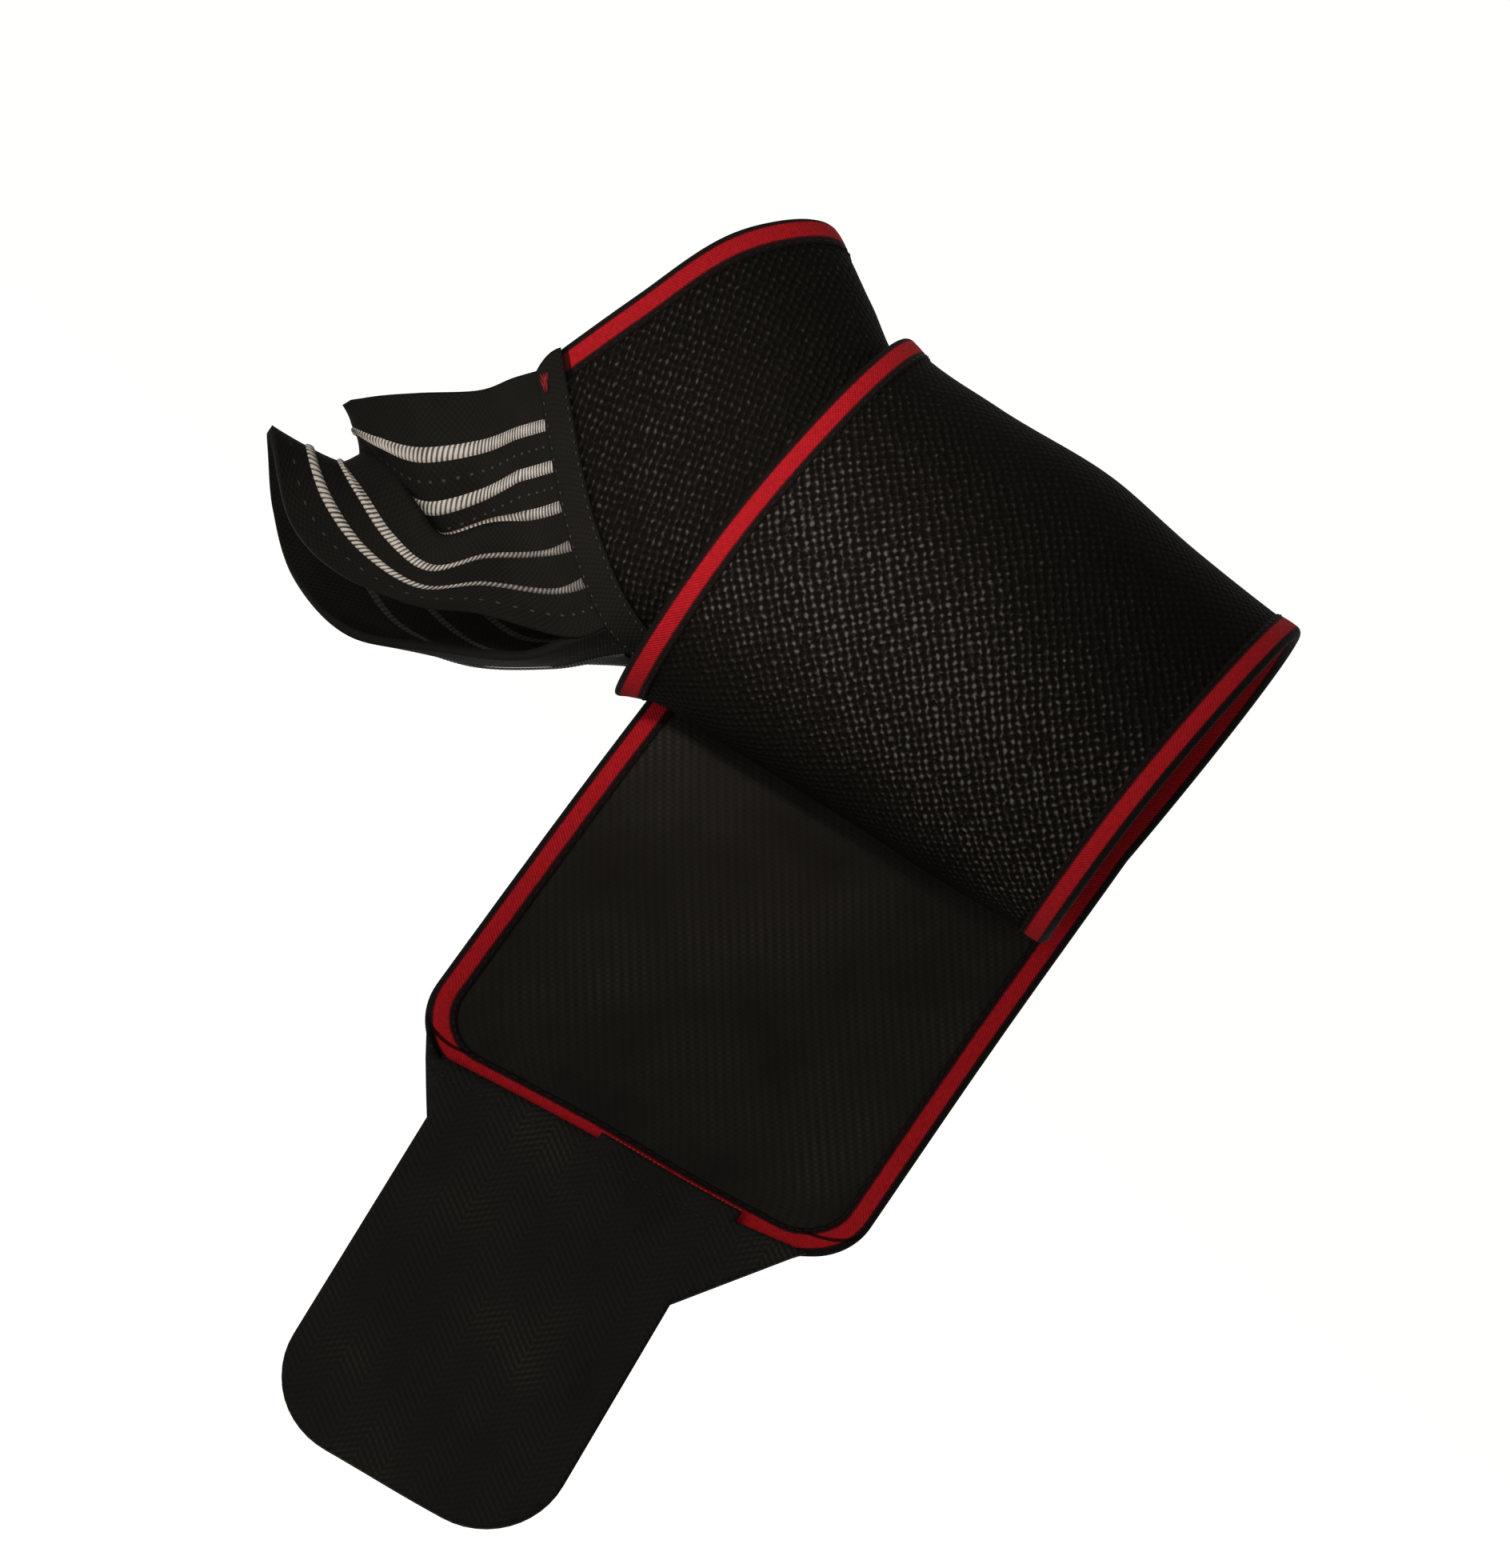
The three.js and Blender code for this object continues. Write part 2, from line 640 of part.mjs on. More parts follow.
const wristWrap = new THREE.Group();
addPiece(wristWrap, 'band', bandGeometry(), colours.mesh);
addPiece(wristWrap, 'edge_binding', bindingGeometry(), colours.tape);
addPiece(wristWrap, 'thumb_loop', loopGeometry(), colours.knit);
for (let i = 0; i < stripeCount; i += 1) {
  addPiece(wristWrap, `grip_stripe_${i + 1}`, stripeGeometry(i), colours.stripe);
}
addPiece(wristWrap, 'seam_tape', seamTapeGeometry(), colours.knit);
addPiece(wristWrap, 'hook_tab', tabGeometry(), colours.hook);

export default wristWrap;
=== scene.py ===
import math
import random
from functools import lru_cache, partial

import bmesh
import bpy
from mathutils import Matrix, Vector, noise


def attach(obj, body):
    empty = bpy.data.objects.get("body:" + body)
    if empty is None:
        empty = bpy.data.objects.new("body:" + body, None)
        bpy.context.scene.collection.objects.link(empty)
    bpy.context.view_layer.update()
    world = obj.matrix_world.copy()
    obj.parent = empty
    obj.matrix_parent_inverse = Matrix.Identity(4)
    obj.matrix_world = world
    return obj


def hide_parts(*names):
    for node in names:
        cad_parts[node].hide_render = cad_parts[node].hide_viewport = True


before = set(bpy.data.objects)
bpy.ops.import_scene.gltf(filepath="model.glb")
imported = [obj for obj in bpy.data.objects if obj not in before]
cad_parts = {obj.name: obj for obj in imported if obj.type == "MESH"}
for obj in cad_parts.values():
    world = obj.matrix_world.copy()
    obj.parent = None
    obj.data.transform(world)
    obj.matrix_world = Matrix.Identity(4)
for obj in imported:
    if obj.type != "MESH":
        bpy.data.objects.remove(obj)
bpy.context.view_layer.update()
mm = 0.001
print("frame loaded")


# Camera: level with the wrist, a little from the elbow's side, rolled as the arm lies
camera = {"place": (90.7, -895.5, -40.1), "turn": 6.7, "roll": 38.7, "lens": 124.64}


def makeCamera():
    turn = math.radians(camera["turn"])
    roll = math.radians(camera["roll"])
    level = Vector((math.cos(turn), math.sin(turn), 0))
    forward = Vector((-math.sin(turn), math.cos(turn), 0))
    upward = Vector((0, 0, 1))
    right = level * math.cos(roll) + upward * math.sin(roll)
    top = upward * math.cos(roll) - level * math.sin(roll)
    data = bpy.data.cameras.new("camera")
    data.lens = camera["lens"]
    data.sensor_width = 36
    data.clip_start = 0.01
    data.clip_end = 60
    eye = bpy.data.objects.new("camera", data)
    eye.matrix_world = Matrix((right, top, -forward)).transposed().to_4x4()
    eye.location = Vector(camera["place"]) * mm
    bpy.context.collection.objects.link(eye)
    bpy.context.scene.camera = eye


makeCamera()
print("camera placed")


# Sizes in mm, those of the solids and of what shows on them
band = {
    "width": 82,
    "thickness": 1.6,
    "edge": 0.6,
    "corner": 13,
    "pitch": 3.4,
    "tail": 98,
    "lean": 18.5,
    "settled": 0.6,
    "ripple": 0.22,
    "rippleLength": 17,
    "calm": [0.06, 1.7, 1.95],
    "inset": 1.2,
    "steps": 420,
    "rows": 84,
}
binding = {"width": 5, "wall": 0.6, "gap": 0.4, "steps": 900, "rows": 26, "settle": 0.22, "settleFrom": 2.2,
           "mitres": [0.25, 1.95]}
strap = {
    "width": 44,
    "thickness": 1.6,
    "reach": 35,
    "start": 1.6,
    "dotsFromEdge": 4.2,
    "stripes": 5,
    "stripe": 2.6,
    "stripePitch": 6.7,
    "stripeHeight": 0.4,
    "stripeLift": 0.05,
    "stripeRows": 6,
    "rung": 0.82,
    "rungDip": 0.2,
    "rungSteps": 5,
    "shown": 0.74,
    "pulled": [0, 0, 0.05, 0.32, 0.32],
    "stripeFrom": 0.018,
    "stripeTo": 0.958,
    "steps": 240,
    "rows": 96,
}
wrist = {"halfWidth": 29, "halfDepth": 22}
clearance = 0.3
quarterSteps = 48
lengthSteps = 200
slopeStep = 0.004

bandHalf = band["thickness"] / 2
bindingInner = band["edge"] / 2 + binding["gap"]
bindingHalf = bindingInner + binding["wall"]

# Section of the hand and wrist along the arm: along, half width, half depth, rise, back
armForm = [
    (-1.035, 1.6, 0.84, -0.17, 0.04),
    (-0.756, 1.53, 0.93, -0.265, 0.0),
    (-0.61, 1.3, 0.98, -0.23, 0.0),
    (-0.488, 1.05, 1.0, -0.15, 0.0),
    (-0.268, 1.005, 1.0, -0.085, 0.0),
    (0.0, 1.0, 1.0, 0.005, 0.0),
    (0.234, 0.948, 1.0, 0.02, 0.0),
    (0.507, 0.9, 1.0, 0.075, 0.0),
]

# Course of the band: turn, along, slant, lift
wraps = [
    (-0.007, -1.0085, 35, 0.0),
    (0.072, -0.95, 31, 0.1),
    (0.153, -0.892, 25, 0.22),
    (0.25, -0.761, 17, 0.4),
    (0.5, -0.61, 7, 1.14),
    (0.75, -0.519, 2, 1.29),
    (1.0, -0.511, 1, 1.28),
    (1.25, -0.502, 1, 1.55),
    (1.6, -0.51, 0, 2.12),
]

# Course of the tail: share, along, slant
tailCourse = [(0, -0.51, 0), (0.45, -0.474, 1.6), (1, -0.418, 4.6)]

# Sections of the loop: share, then reach, depth and rise of its hand edge, middle and thumb edge
loopSections = [
    (0.14, 0.17, -0.78, -0.62, -0.23, -0.86, -1.19, -0.47, -0.68, -1.6),
    (0.2, 0.4, -0.68, -0.84, -0.01, -0.75, -1.44, -0.2, -0.68, -1.8),
    (0.26, 0.6, -0.52, -1.03, 0.26, -0.55, -1.45, 0.19, -0.61, -1.93),
    (0.31, 0.71, -0.27, -1.14, 0.49, -0.3, -1.39, 0.54, -0.48, -1.87),
    (0.36, 0.68, 0.1, -1.06, 0.62, 0.02, -1.39, 0.91, -0.2, -1.55),
    (0.41, 0.6, 0.42, -0.93, 0.57, 0.36, -1.36, 0.94, 0.23, -1.62),
    (0.47, 0.42, 0.66, -0.82, 0.43, 0.66, -1.34, 0.78, 0.52, -1.89),
    (0.55, 0.15, 0.82, -0.7, 0.19, 0.85, -1.38, 0.49, 0.6, -2.13),
    (0.64, -0.21, 0.93, -0.61, -0.17, 0.8, -1.56, 0.08, 0.34, -2.17),
    (0.74, -0.65, 0.93, -0.58, -0.58, 0.6, -1.58, -0.33, 0.02, -1.92),
]

# Ends of the loop on the wrist: share, on the palm, distances back of hand edge, middle, thumb edge
loopEnds = [
    (0.0, False, 0, 0, 0),
    (0.07, False, 0.14, 0.17, 0.2),
    (0.84, True, 0.98, 0.74, 0.42),
    (0.92, True, 0.49, 0.36, 0.2),
    (1.0, True, 0, 0, 0),
]


def readTable(rows, column, at):
    # smooth curve through the rows, as the solids have it
    last = len(rows) - 1
    if at <= rows[0][0]:
        return rows[0][column]
    if at >= rows[last][0]:
        return rows[last][column]
    row = 0
    while rows[row + 1][0] < at:
        row += 1

    def slope(index):
        low = max(index - 1, 0)
        high = min(index + 1, last)
        return (rows[high][column] - rows[low][column]) / (rows[high][0] - rows[low][0])

    span = rows[row + 1][0] - rows[row][0]
    t = (at - rows[row][0]) / span
    rise = rows[row + 1][column] - rows[row][column]
    start = slope(row) * span
    end = slope(row + 1) * span
    bend = 3 * rise - 2 * start - end
    return rows[row][column] + start * t + bend * t * t + (start + end - 2 * rise) * t ** 3


def smooth(low, high, at):
    t = min(max((at - low) / (high - low), 0), 1)
    return t * t * (3 - 2 * t)


def mixed(a, b, share):
    return a + (b - a) * share


@lru_cache(maxsize=None)
def quarterLengths(halfWidth, halfDepth):
    lengths = [0]
    step = math.pi / 2 / quarterSteps
    for i in range(quarterSteps):
        angle = (i + 0.5) * step
        speed = math.hypot(halfDepth * math.sin(angle), halfWidth * math.cos(angle))
        lengths.append(lengths[-1] + speed * step)
    return lengths


def armSection(x):
    along = x / band["width"]
    return (
        readTable(armForm, 1, along) * wrist["halfWidth"],
        readTable(armForm, 2, along) * wrist["halfDepth"],
        readTable(armForm, 3, along) * wrist["halfWidth"],
        readTable(armForm, 4, along) * wrist["halfDepth"],
    )


def sectionLengths(section):
    return quarterLengths(round(section[0], 2), round(section[1], 2))


def armPoint(x, turn, height):
    section = armSection(x)
    lengths = sectionLengths(section)
    whole = math.floor(turn * 4)
    part = turn * 4 - whole
    mirrored = whole % 2 == 1
    wanted = (1 - part if mirrored else part) * lengths[-1]
    i = min(int(wanted / lengths[-1] * quarterSteps), quarterSteps - 1)
    while i > 0 and lengths[i] > wanted:
        i -= 1
    while i < quarterSteps - 1 and lengths[i + 1] < wanted:
        i += 1
    within = (i + (wanted - lengths[i]) / (lengths[i + 1] - lengths[i])) / quarterSteps
    angle = (whole + (1 - within if mirrored else within)) * math.pi / 2
    halfWidth, halfDepth, rise, back = section
    normal = Vector((-halfWidth * math.cos(angle), halfDepth * math.sin(angle))).normalized()
    return Vector((
        x,
        back - halfDepth * math.cos(angle) + height * normal.x,
        rise + halfWidth * math.sin(angle) + height * normal.y,
    ))


# The tail leaves the wrist along a line that touches the arm
lean = math.radians(band["lean"])
tailDown = Vector((0, -math.sin(lean), -math.cos(lean)))
tailOut = Vector((0, math.cos(lean), -math.sin(lean)))


def releaseAngle(section):
    return math.atan(section[0] / section[1] * math.tan(lean))


def releaseTurn(section):
    lengths = sectionLengths(section)
    place = releaseAngle(section) / (math.pi / 2) * quarterSteps
    i = min(int(place), quarterSteps - 1)
    return 1.5 + 0.25 * (lengths[i] + (lengths[i + 1] - lengths[i]) * (place - i)) / lengths[-1]


startTurn = wraps[0][0]
middleRelease = releaseTurn(armSection(0))
releaseLift = readTable(wraps, 3, middleRelease)


def tailStart(x):
    section = armSection(x)
    angle = releaseAngle(section)
    point = Vector((
        0,
        section[3] + section[1] * math.cos(angle),
        section[2] - section[0] * math.sin(angle),
    ))
    return point.dot(tailOut) + bindingHalf + releaseLift * band["pitch"], point.dot(tailDown)


tailPlane = [tailStart(x)[0] for x in (-band["width"] / 2, band["width"] / 2)]


def tailPoint(x, hang, out):
    startOut, startDown = tailStart(x)
    plane = mixed(tailPlane[0], tailPlane[1], x / band["width"] + 0.5)
    away = mixed(startOut, plane, smooth(0, band["tail"] * band["settled"], hang)) + out
    return Vector((x, 0, 0)) + tailOut * away + tailDown * (startDown + hang)


def ripple(station, across):
    # cloth is never quite flat: soft swells that die out at the seam and at the tab
    awake, drowsy, still = band["calm"]
    swell = smooth(0, awake, station) * (1 - smooth(drowsy, still, station))
    at = Vector((station * 260, across, 3.7)) / band["rippleLength"]
    return band["ripple"] * swell * noise.noise(at)


def bandPoint(station, across, out):
    if station > 1:
        share = station - 1
        slant = math.radians(readTable(tailCourse, 2, share))
        x = readTable(tailCourse, 1, share) * band["width"] + across * math.cos(slant)
        drift = max(share - 1, 0) * band["tail"] * math.sin(2 * slant)
        hang = share * band["tail"] - across * math.sin(slant)
        return tailPoint(x + drift, hang, out + ripple(station, across))
    nominal = startTurn + station * (middleRelease - startTurn)
    slant = math.radians(readTable(wraps, 2, nominal)) * (1 - smooth(0.9, 1, station))
    x = readTable(wraps, 1, nominal) * band["width"] + across * math.cos(slant)
    section = armSection(x)
    reached = startTurn + station * (releaseTurn(section) - startTurn)
    lag = across * math.sin(slant) / (4 * sectionLengths(section)[-1])
    lift = readTable(wraps, 3, nominal) * band["pitch"]
    return armPoint(x, reached - lag, bindingHalf + lift + out + ripple(station, across))


def seamPoint(back, across, out):
    slant = math.radians(wraps[0][2])
    x = wraps[0][1] * band["width"] + across * math.cos(slant) - back * math.sin(slant)
    arc = across * math.sin(slant) + back * math.cos(slant)
    lag = arc / (4 * sectionLengths(armSection(x))[-1])
    return armPoint(x, startTurn - lag, bindingHalf + out)


def stationLengths():
    # real length of the band's middle at evenly spaced stations, for even knit
    marks = [0]
    last = bandPoint(0, band["width"] / 2, 0)
    for i in range(1, lengthSteps + 1):
        point = bandPoint(2 * i / lengthSteps, band["width"] / 2, 0)
        marks.append(marks[-1] + (point - last).length)
        last = point
    return marks


bandMarks = stationLengths()
bandLength = bandMarks[-1]


def stationAt(run):
    i = 0
    while i < lengthSteps - 1 and bandMarks[i + 1] < run:
        i += 1
    return 2 * (i + (run - bandMarks[i]) / (bandMarks[i + 1] - bandMarks[i])) / lengthSteps


print("band is", round(bandLength), "mm long")


# Colours and nodes
def hexColour(text):
    # sRGB hex to linear
    channels = [int(text[i:i + 2], 16) / 255 for i in (1, 3, 5)]
    linear = [c / 12.92 if c <= 0.04045 else ((c + 0.055) / 1.055) ** 2.4 for c in channels]
    return (*linear, 1)


def socketOf(value):
    # a node stands for its first output
    return value.outputs[0] if isinstance(value, bpy.types.Node) else value


def addNode(tree, kind, inputs=(), stops=(), **settings):
    # a node with its settings and, for a ramp, its stops; inputs are set or linked, by place or name
    node = tree.nodes.new("ShaderNode" + kind)
    for name, value in settings.items():
        setattr(node, name, value)
    for place, value in inputs.items() if isinstance(inputs, dict) else enumerate(inputs):
        value = socketOf(value)
        if isinstance(value, bpy.types.NodeSocket):
            tree.links.new(value, node.inputs[place])
        else:
            node.inputs[place].default_value = value
    while stops and len(node.color_ramp.elements) < len(stops):
        node.color_ramp.elements.new(0.5)
    for i, (place, colour) in enumerate(stops):
        node.color_ramp.elements[i].position = place
        node.color_ramp.elements[i].color = hexColour(colour)
    return node


def newMaterial(name, surface):
    material = bpy.data.materials.new(name)
    material.use_nodes = True
    tree = material.node_tree
    shader = tree.nodes["Principled BSDF"]
    shader.inputs["Roughness"].default_value = surface["roughness"]
    shader.inputs["Specular IOR Level"].default_value = surface["specular"]
    shader.inputs["IOR"].default_value = fibreIor
    return material, tree, partial(addNode, tree)


def coverShader(tree, surface, colour, height):
    # the cloth's colour, and its pattern raised by the relief in mm
    shader = tree.nodes["Principled BSDF"]
    inputs = {"Height": height, "Distance": surface["relief"] * mm, "Strength": surface["strength"]}
    bump = addNode(tree, "Bump", inputs)
    tree.links.new(socketOf(colour), shader.inputs["Base Color"])
    tree.links.new(socketOf(bump), shader.inputs["Normal"])


def clothPlace(node, length, width):
    # the piece's own map, in mm along and across the cloth
    cloth = node("UVMap", uv_map="cloth")
    return node("VectorMath", [cloth, (length, width, 1)], operation="MULTIPLY")


fibreIor = 1.5  # polyester and nylon
fullTurn = 2 * math.pi

# Polyester and spandex bird's-eye knit: the raised stitches' shine is painted into the colour as bright
# glints over deep black holes, with painted light along the band, brightest over the front of the wrist and
# painted dark towards the fold
birdseye = {
    "roughness": 0.75,
    "specular": 0.015,
    "relief": 0.42,
    "strength": 0.8,
    "pitch": 1.95,
    "wander": 0.5,
    "bend": 1.35,
    "leaning": 0.3,
    "crossing": 0.2,
    "single": (1.1, 4.2, -1.3),
    "patch": (0.09, 1.2, 0.35),
    "sharp": 3.3,
    "slant": 0.2,
    # holes, yarn, and at the top a painted highlight colour for the stitch tips
    "colours": [(0.0, "#040302"), (0.16, "#0E0B09"), (0.75, "#302C28")],
    "run": 330,
    # painted light along the band, grey by run in mm: brightest over the front of the wrist, painted shade
    # at the fold
    "paintedLightAlongBand": [(0, "#A0A0A0"), (24, "#ACACAC"), (46, "#707070"), (188, "#1C1C1C"), (201, "#808080"),
                  (212, "#E8E8E8"), (230, "#FFFFFF"), (250, "#888888"), (268, "#585858"),
                  (300, "#585858"), (330, "#A0A0A0")],
}


def birdseyeKnit():
    material, tree, node = newMaterial("birdseyeKnit", birdseye)
    place = clothPlace(node, bandLength, band["width"])
    # rows of stitches that wander a little
    wander = node("TexNoise", {"Vector": place, "Scale": birdseye["wander"], "Detail": 2.0})
    shift = node("VectorMath", [wander.outputs["Color"], (0.5, 0.5, 0.5)], operation="SUBTRACT")
    bend = (birdseye["bend"], birdseye["bend"], 0)
    bent = node("VectorMath", [shift, bend, place], operation="MULTIPLY_ADD")
    x, y, _ = node("SeparateXYZ", [bent]).outputs
    turns = fullTurn / birdseye["pitch"]
    along = node("Math", [x, turns], operation="MULTIPLY")
    across = node("Math", [y, turns], operation="MULTIPLY")
    # two crossing waves make staggered stitches that lean one way
    sums = [node("Math", [along, across], operation=way) for way in ("ADD", "SUBTRACT")]
    leaning, crossing = [node("Math", [angle], operation="COSINE") for angle in sums]
    height = node("Math", [leaning, birdseye["leaning"], 0.5], operation="MULTIPLY_ADD")
    height = node("Math", [crossing, birdseye["crossing"], height], operation="MULTIPLY_ADD")
    # the painted highlights of no two stitches shine alike, nor those of two patches
    scale, gain, base = birdseye["single"]
    single = node("TexNoise", {"Vector": place, "Scale": scale, "Detail": 1.0})
    uneven = node("Math", [single, gain, base], operation="MULTIPLY_ADD")
    scale, gain, base = birdseye["patch"]
    patch = node("TexNoise", {"Vector": place, "Scale": scale, "Detail": 3.0})
    patchy = node("Math", [patch, gain, base], operation="MULTIPLY_ADD")
    # painted light along the band: bright where the lamps fall on the front of the wrist, painted shade
    # towards the fold
    slanted = node("Math", [y, birdseye["slant"], x], operation="MULTIPLY_ADD")
    run = node("Math", [slanted, birdseye["run"]], operation="DIVIDE")
    stops = [(at / birdseye["run"], grey) for at, grey in birdseye["paintedLightAlongBand"]]
    paintedLightAlongBand = node("ValToRGB", [run], stops)
    seen = node("Math", [uneven, patchy], operation="MULTIPLY")
    seen = node("Math", [seen, paintedLightAlongBand], operation="MULTIPLY")
    # the stitch tips are painted bright as highlights
    tips = node("Math", [height, birdseye["sharp"]], operation="POWER")
    paintedGlints = node("Math", [tips, seen], operation="MULTIPLY")
    colour = node("ValToRGB", [paintedGlints], birdseye["colours"])
    coverShader(tree, birdseye, colour, height)
    return material


# Inner side of the same elastic: flat slanted ribs of tiny stitches, nearly black
ribs = {
    "roughness": 0.85,
    "specular": 0.03,
    "relief": 0.12,
    "strength": 0.5,
    "pitch": 1.5,
    "stitch": 1.0,
    "slant": -35,
    "patch": (0.05, 1.6, -0.45),
    "colours": [(0.25, "#080605"), (0.55, "#0F0D0A"), (1.0, "#1F1B17")],
}


def ribbedKnit():
    material, tree, node = newMaterial("ribbedKnit", ribs)
    place = clothPlace(node, bandLength, band["width"])
    slant = math.radians(ribs["slant"])
    turned = node("VectorRotate", {"Vector": place, "Angle": slant}, rotation_type="Z_AXIS")
    x, y, _ = node("SeparateXYZ", [turned]).outputs
    rib = node("Math", [y, fullTurn / ribs["pitch"]], operation="MULTIPLY")
    rib = node("Math", [rib], operation="SINE")
    link = node("Math", [x, fullTurn / ribs["stitch"]], operation="MULTIPLY")
    link = node("Math", [link], operation="SINE")
    height = node("Math", [rib, 0.25, 0.5], operation="MULTIPLY_ADD")
    linked = node("Math", [rib, link], operation="MULTIPLY")
    height = node("Math", [linked, 0.25, height], operation="MULTIPLY_ADD")
    scale, gain, base = ribs["patch"]
    patch = node("TexNoise", {"Vector": place, "Scale": scale, "Detail": 2.0})
    worn = node("Math", [patch, gain, base], operation="MULTIPLY_ADD")
    tone = node("Math", [height, worn], operation="MULTIPLY")
    tone = node("Math", [tone, 0.7, 0.3], operation="MULTIPLY_ADD")
    colour = node("ValToRGB", [tone], ribs["colours"])
    coverShader(tree, ribs, colour, height)
    return material


# Folded polyester tape: black selvedges and fold, a grainy red band woven between them
tape = {
    "roughness": 0.8,
    "specular": 0.03,
    "relief": 0.16,
    "strength": 0.8,
    "border": 1.7,
    "red": 4.75,
    "blur": 0.3,
    "blackColour": "#080504",
    "edgeColour": "#240406",
    "redColour": "#6C090E",
    "weave": 0.62,
    "speckle": (1.3, 0.75, 0.5),
    "frayed": 0.24,
    "start": 4.2,
    "mitre": 0.9,
    "mitreLean": 2.4,
    "least": 0.08,
}


def foldedTape(length, width, mitres):
    material, tree, node = newMaterial("foldedTape", tape)
    place = clothPlace(node, length, width)
    along, across, _ = node("SeparateXYZ", [place]).outputs
    half = width / 2
    aside = node("Math", [across, half], operation="SUBTRACT")
    aside = node("Math", [aside], operation="ABSOLUTE")
    fray = node("TexNoise", {"Vector": place, "Scale": 1.6, "Detail": 2.0})
    frayed = node("Math", [fray, tape["frayed"], aside], operation="MULTIPLY_ADD")
    share = node("Math", [frayed, half], operation="DIVIDE")
    redFrom, redTo, blur = tape["border"], tape["red"], tape["blur"]
    steps = [(0.0, "black"), (redFrom, "black"), (redFrom + blur, "edge"), (redFrom + blur + 0.2, "red"),
             (redTo - blur, "red"), (redTo, "edge"), (redTo + blur, "black")]
    bands = node("ValToRGB", [share], [(at / half, tape[name + "Colour"]) for at, name in steps])
    turns = fullTurn / tape["weave"]
    angles = [node("Math", [side, turns], operation="MULTIPLY") for side in (along, across)]
    waves = [node("Math", [angle], operation="SINE") for angle in angles]
    weave = node("Math", waves, operation="MULTIPLY")
    height = node("Math", [weave, 0.5, 0.5], operation="MULTIPLY_ADD")
    scale, gain, base = tape["speckle"]
    speckle = node("TexNoise", {"Vector": place, "Scale": scale, "Detail": 3.0})
    grain = node("Math", [speckle, gain, base], operation="MULTIPLY_ADD")
    shade = node("Math", [height, 0.25, 0.8], operation="MULTIPLY_ADD")
    shade = node("Math", [shade, grain], operation="MULTIPLY")
    # the fold is black where the tape starts, under the seam, and where it turns the corners
    begun = node("Math", [along, tape["start"]], operation="GREATER_THAN")
    shade = node("Math", [shade, begun], operation="MULTIPLY")
    for at, lean in mitres:
        leaning = node("Math", [aside, lean, along], operation="MULTIPLY_ADD")
        away = node("Math", [leaning, at], operation="SUBTRACT")
        away = node("Math", [away], operation="ABSOLUTE")
        clear = node("Math", [away, tape["mitre"]], operation="GREATER_THAN")
        shade = node("Math", [shade, clear], operation="MULTIPLY")
    shade = node("Math", [shade, tape["least"]], operation="MAXIMUM")
    tinted = node("Mix", {0: 1.0, 6: bands, 7: shade}, data_type="RGBA", blend_type="MULTIPLY")
    coverShader(tree, tape, tinted.outputs[2], height)
    return material


# Woven elastic of nylon over rubber: fine cross ribs, a few rows of lighter dots, and on the
# inside the dim backs of the stripes
elastic = {
    "roughness": 0.75,
    "specular": 0.02,
    "relief": 0.14,
    "strength": 0.7,
    "rib": 0.9,
    "cord": 1.1,
    "colours": [(0.2, "#060504"), (0.65, "#0C0A08"), (0.95, "#14110F")],
    "dotColour": "#2B2825",
    "dotHalf": 0.17,
    "dotPitch": 2.0,
    "lineColour": "#242120",
    "lineHalf": 0.55,
}


def wovenElastic(name, length, width, dotted=(), lines=()):
    material, tree, node = newMaterial(name, elastic)
    place = clothPlace(node, length, width)
    x, y, _ = node("SeparateXYZ", [place]).outputs
    pitches = [(x, elastic["rib"]), (y, elastic["cord"]), (x, elastic["dotPitch"])]
    angles = [node("Math", [side, fullTurn / pitch], operation="MULTIPLY") for side, pitch in pitches]
    crossRibs, cords, beat = [node("Math", [angle], operation="SINE") for angle in angles]
    woven = node("Math", [crossRibs, cords], operation="MULTIPLY")
    height = node("Math", [woven, 0.35, 0.5], operation="MULTIPLY_ADD")
    patch = node("TexNoise", {"Vector": place, "Scale": 0.12, "Detail": 2.0})
    tone = node("Math", [height, 0.5], operation="MULTIPLY")
    tone = node("Math", [patch, 0.45, tone], operation="MULTIPLY_ADD")
    colour = node("ValToRGB", [tone], elastic["colours"]).outputs["Color"]
    dots = node("Math", [beat, 0.75], operation="GREATER_THAN")
    dots = node("Math", [dots, 0.6], operation="MULTIPLY")
    backs = node("Math", [crossRibs, 0.3, 0.6], operation="MULTIPLY_ADD")
    marks = [(row, elastic["dotHalf"], dots, elastic["dotColour"]) for row in dotted]
    marks += [(row, elastic["lineHalf"], backs, elastic["lineColour"]) for row in lines]
    for row, half, shown, tint in marks:
        aside = node("Math", [y, row], operation="SUBTRACT")
        aside = node("Math", [aside], operation="ABSOLUTE")
        near = node("Math", [aside, half], operation="LESS_THAN")
        seen = node("Math", [near, shown], operation="MULTIPLY")
        colour = node("Mix", {0: seen, 6: colour, 7: hexColour(tint)}, data_type="RGBA").outputs[2]
    coverShader(tree, elastic, colour, height)
    return material


# Silicone coated polyester yarn in a ladder stitch: chalky rungs with a dull shine, black between,
# greyer where a stripe is pulled thin by the seam, and darker towards its end on the palm
ladder = {
    "roughness": 0.55,
    "specular": 0.15,
    "relief": 0.12,
    "strength": 0.6,
    "lean": -0.22,
    "patch": (0.22, 0.9, -0.2),
    "colours": [(0.1, "#0D0B0A"), (0.45, "#332E2A"), (0.75, "#615B54"), (1.0, "#7A726A")],
    "nearSeam": ["#F0F0F0", "#F0F0F0", "#E0E0E0", "#C4C4C4", "#BCBCBC"],
    "onPalm": "#707070",
}


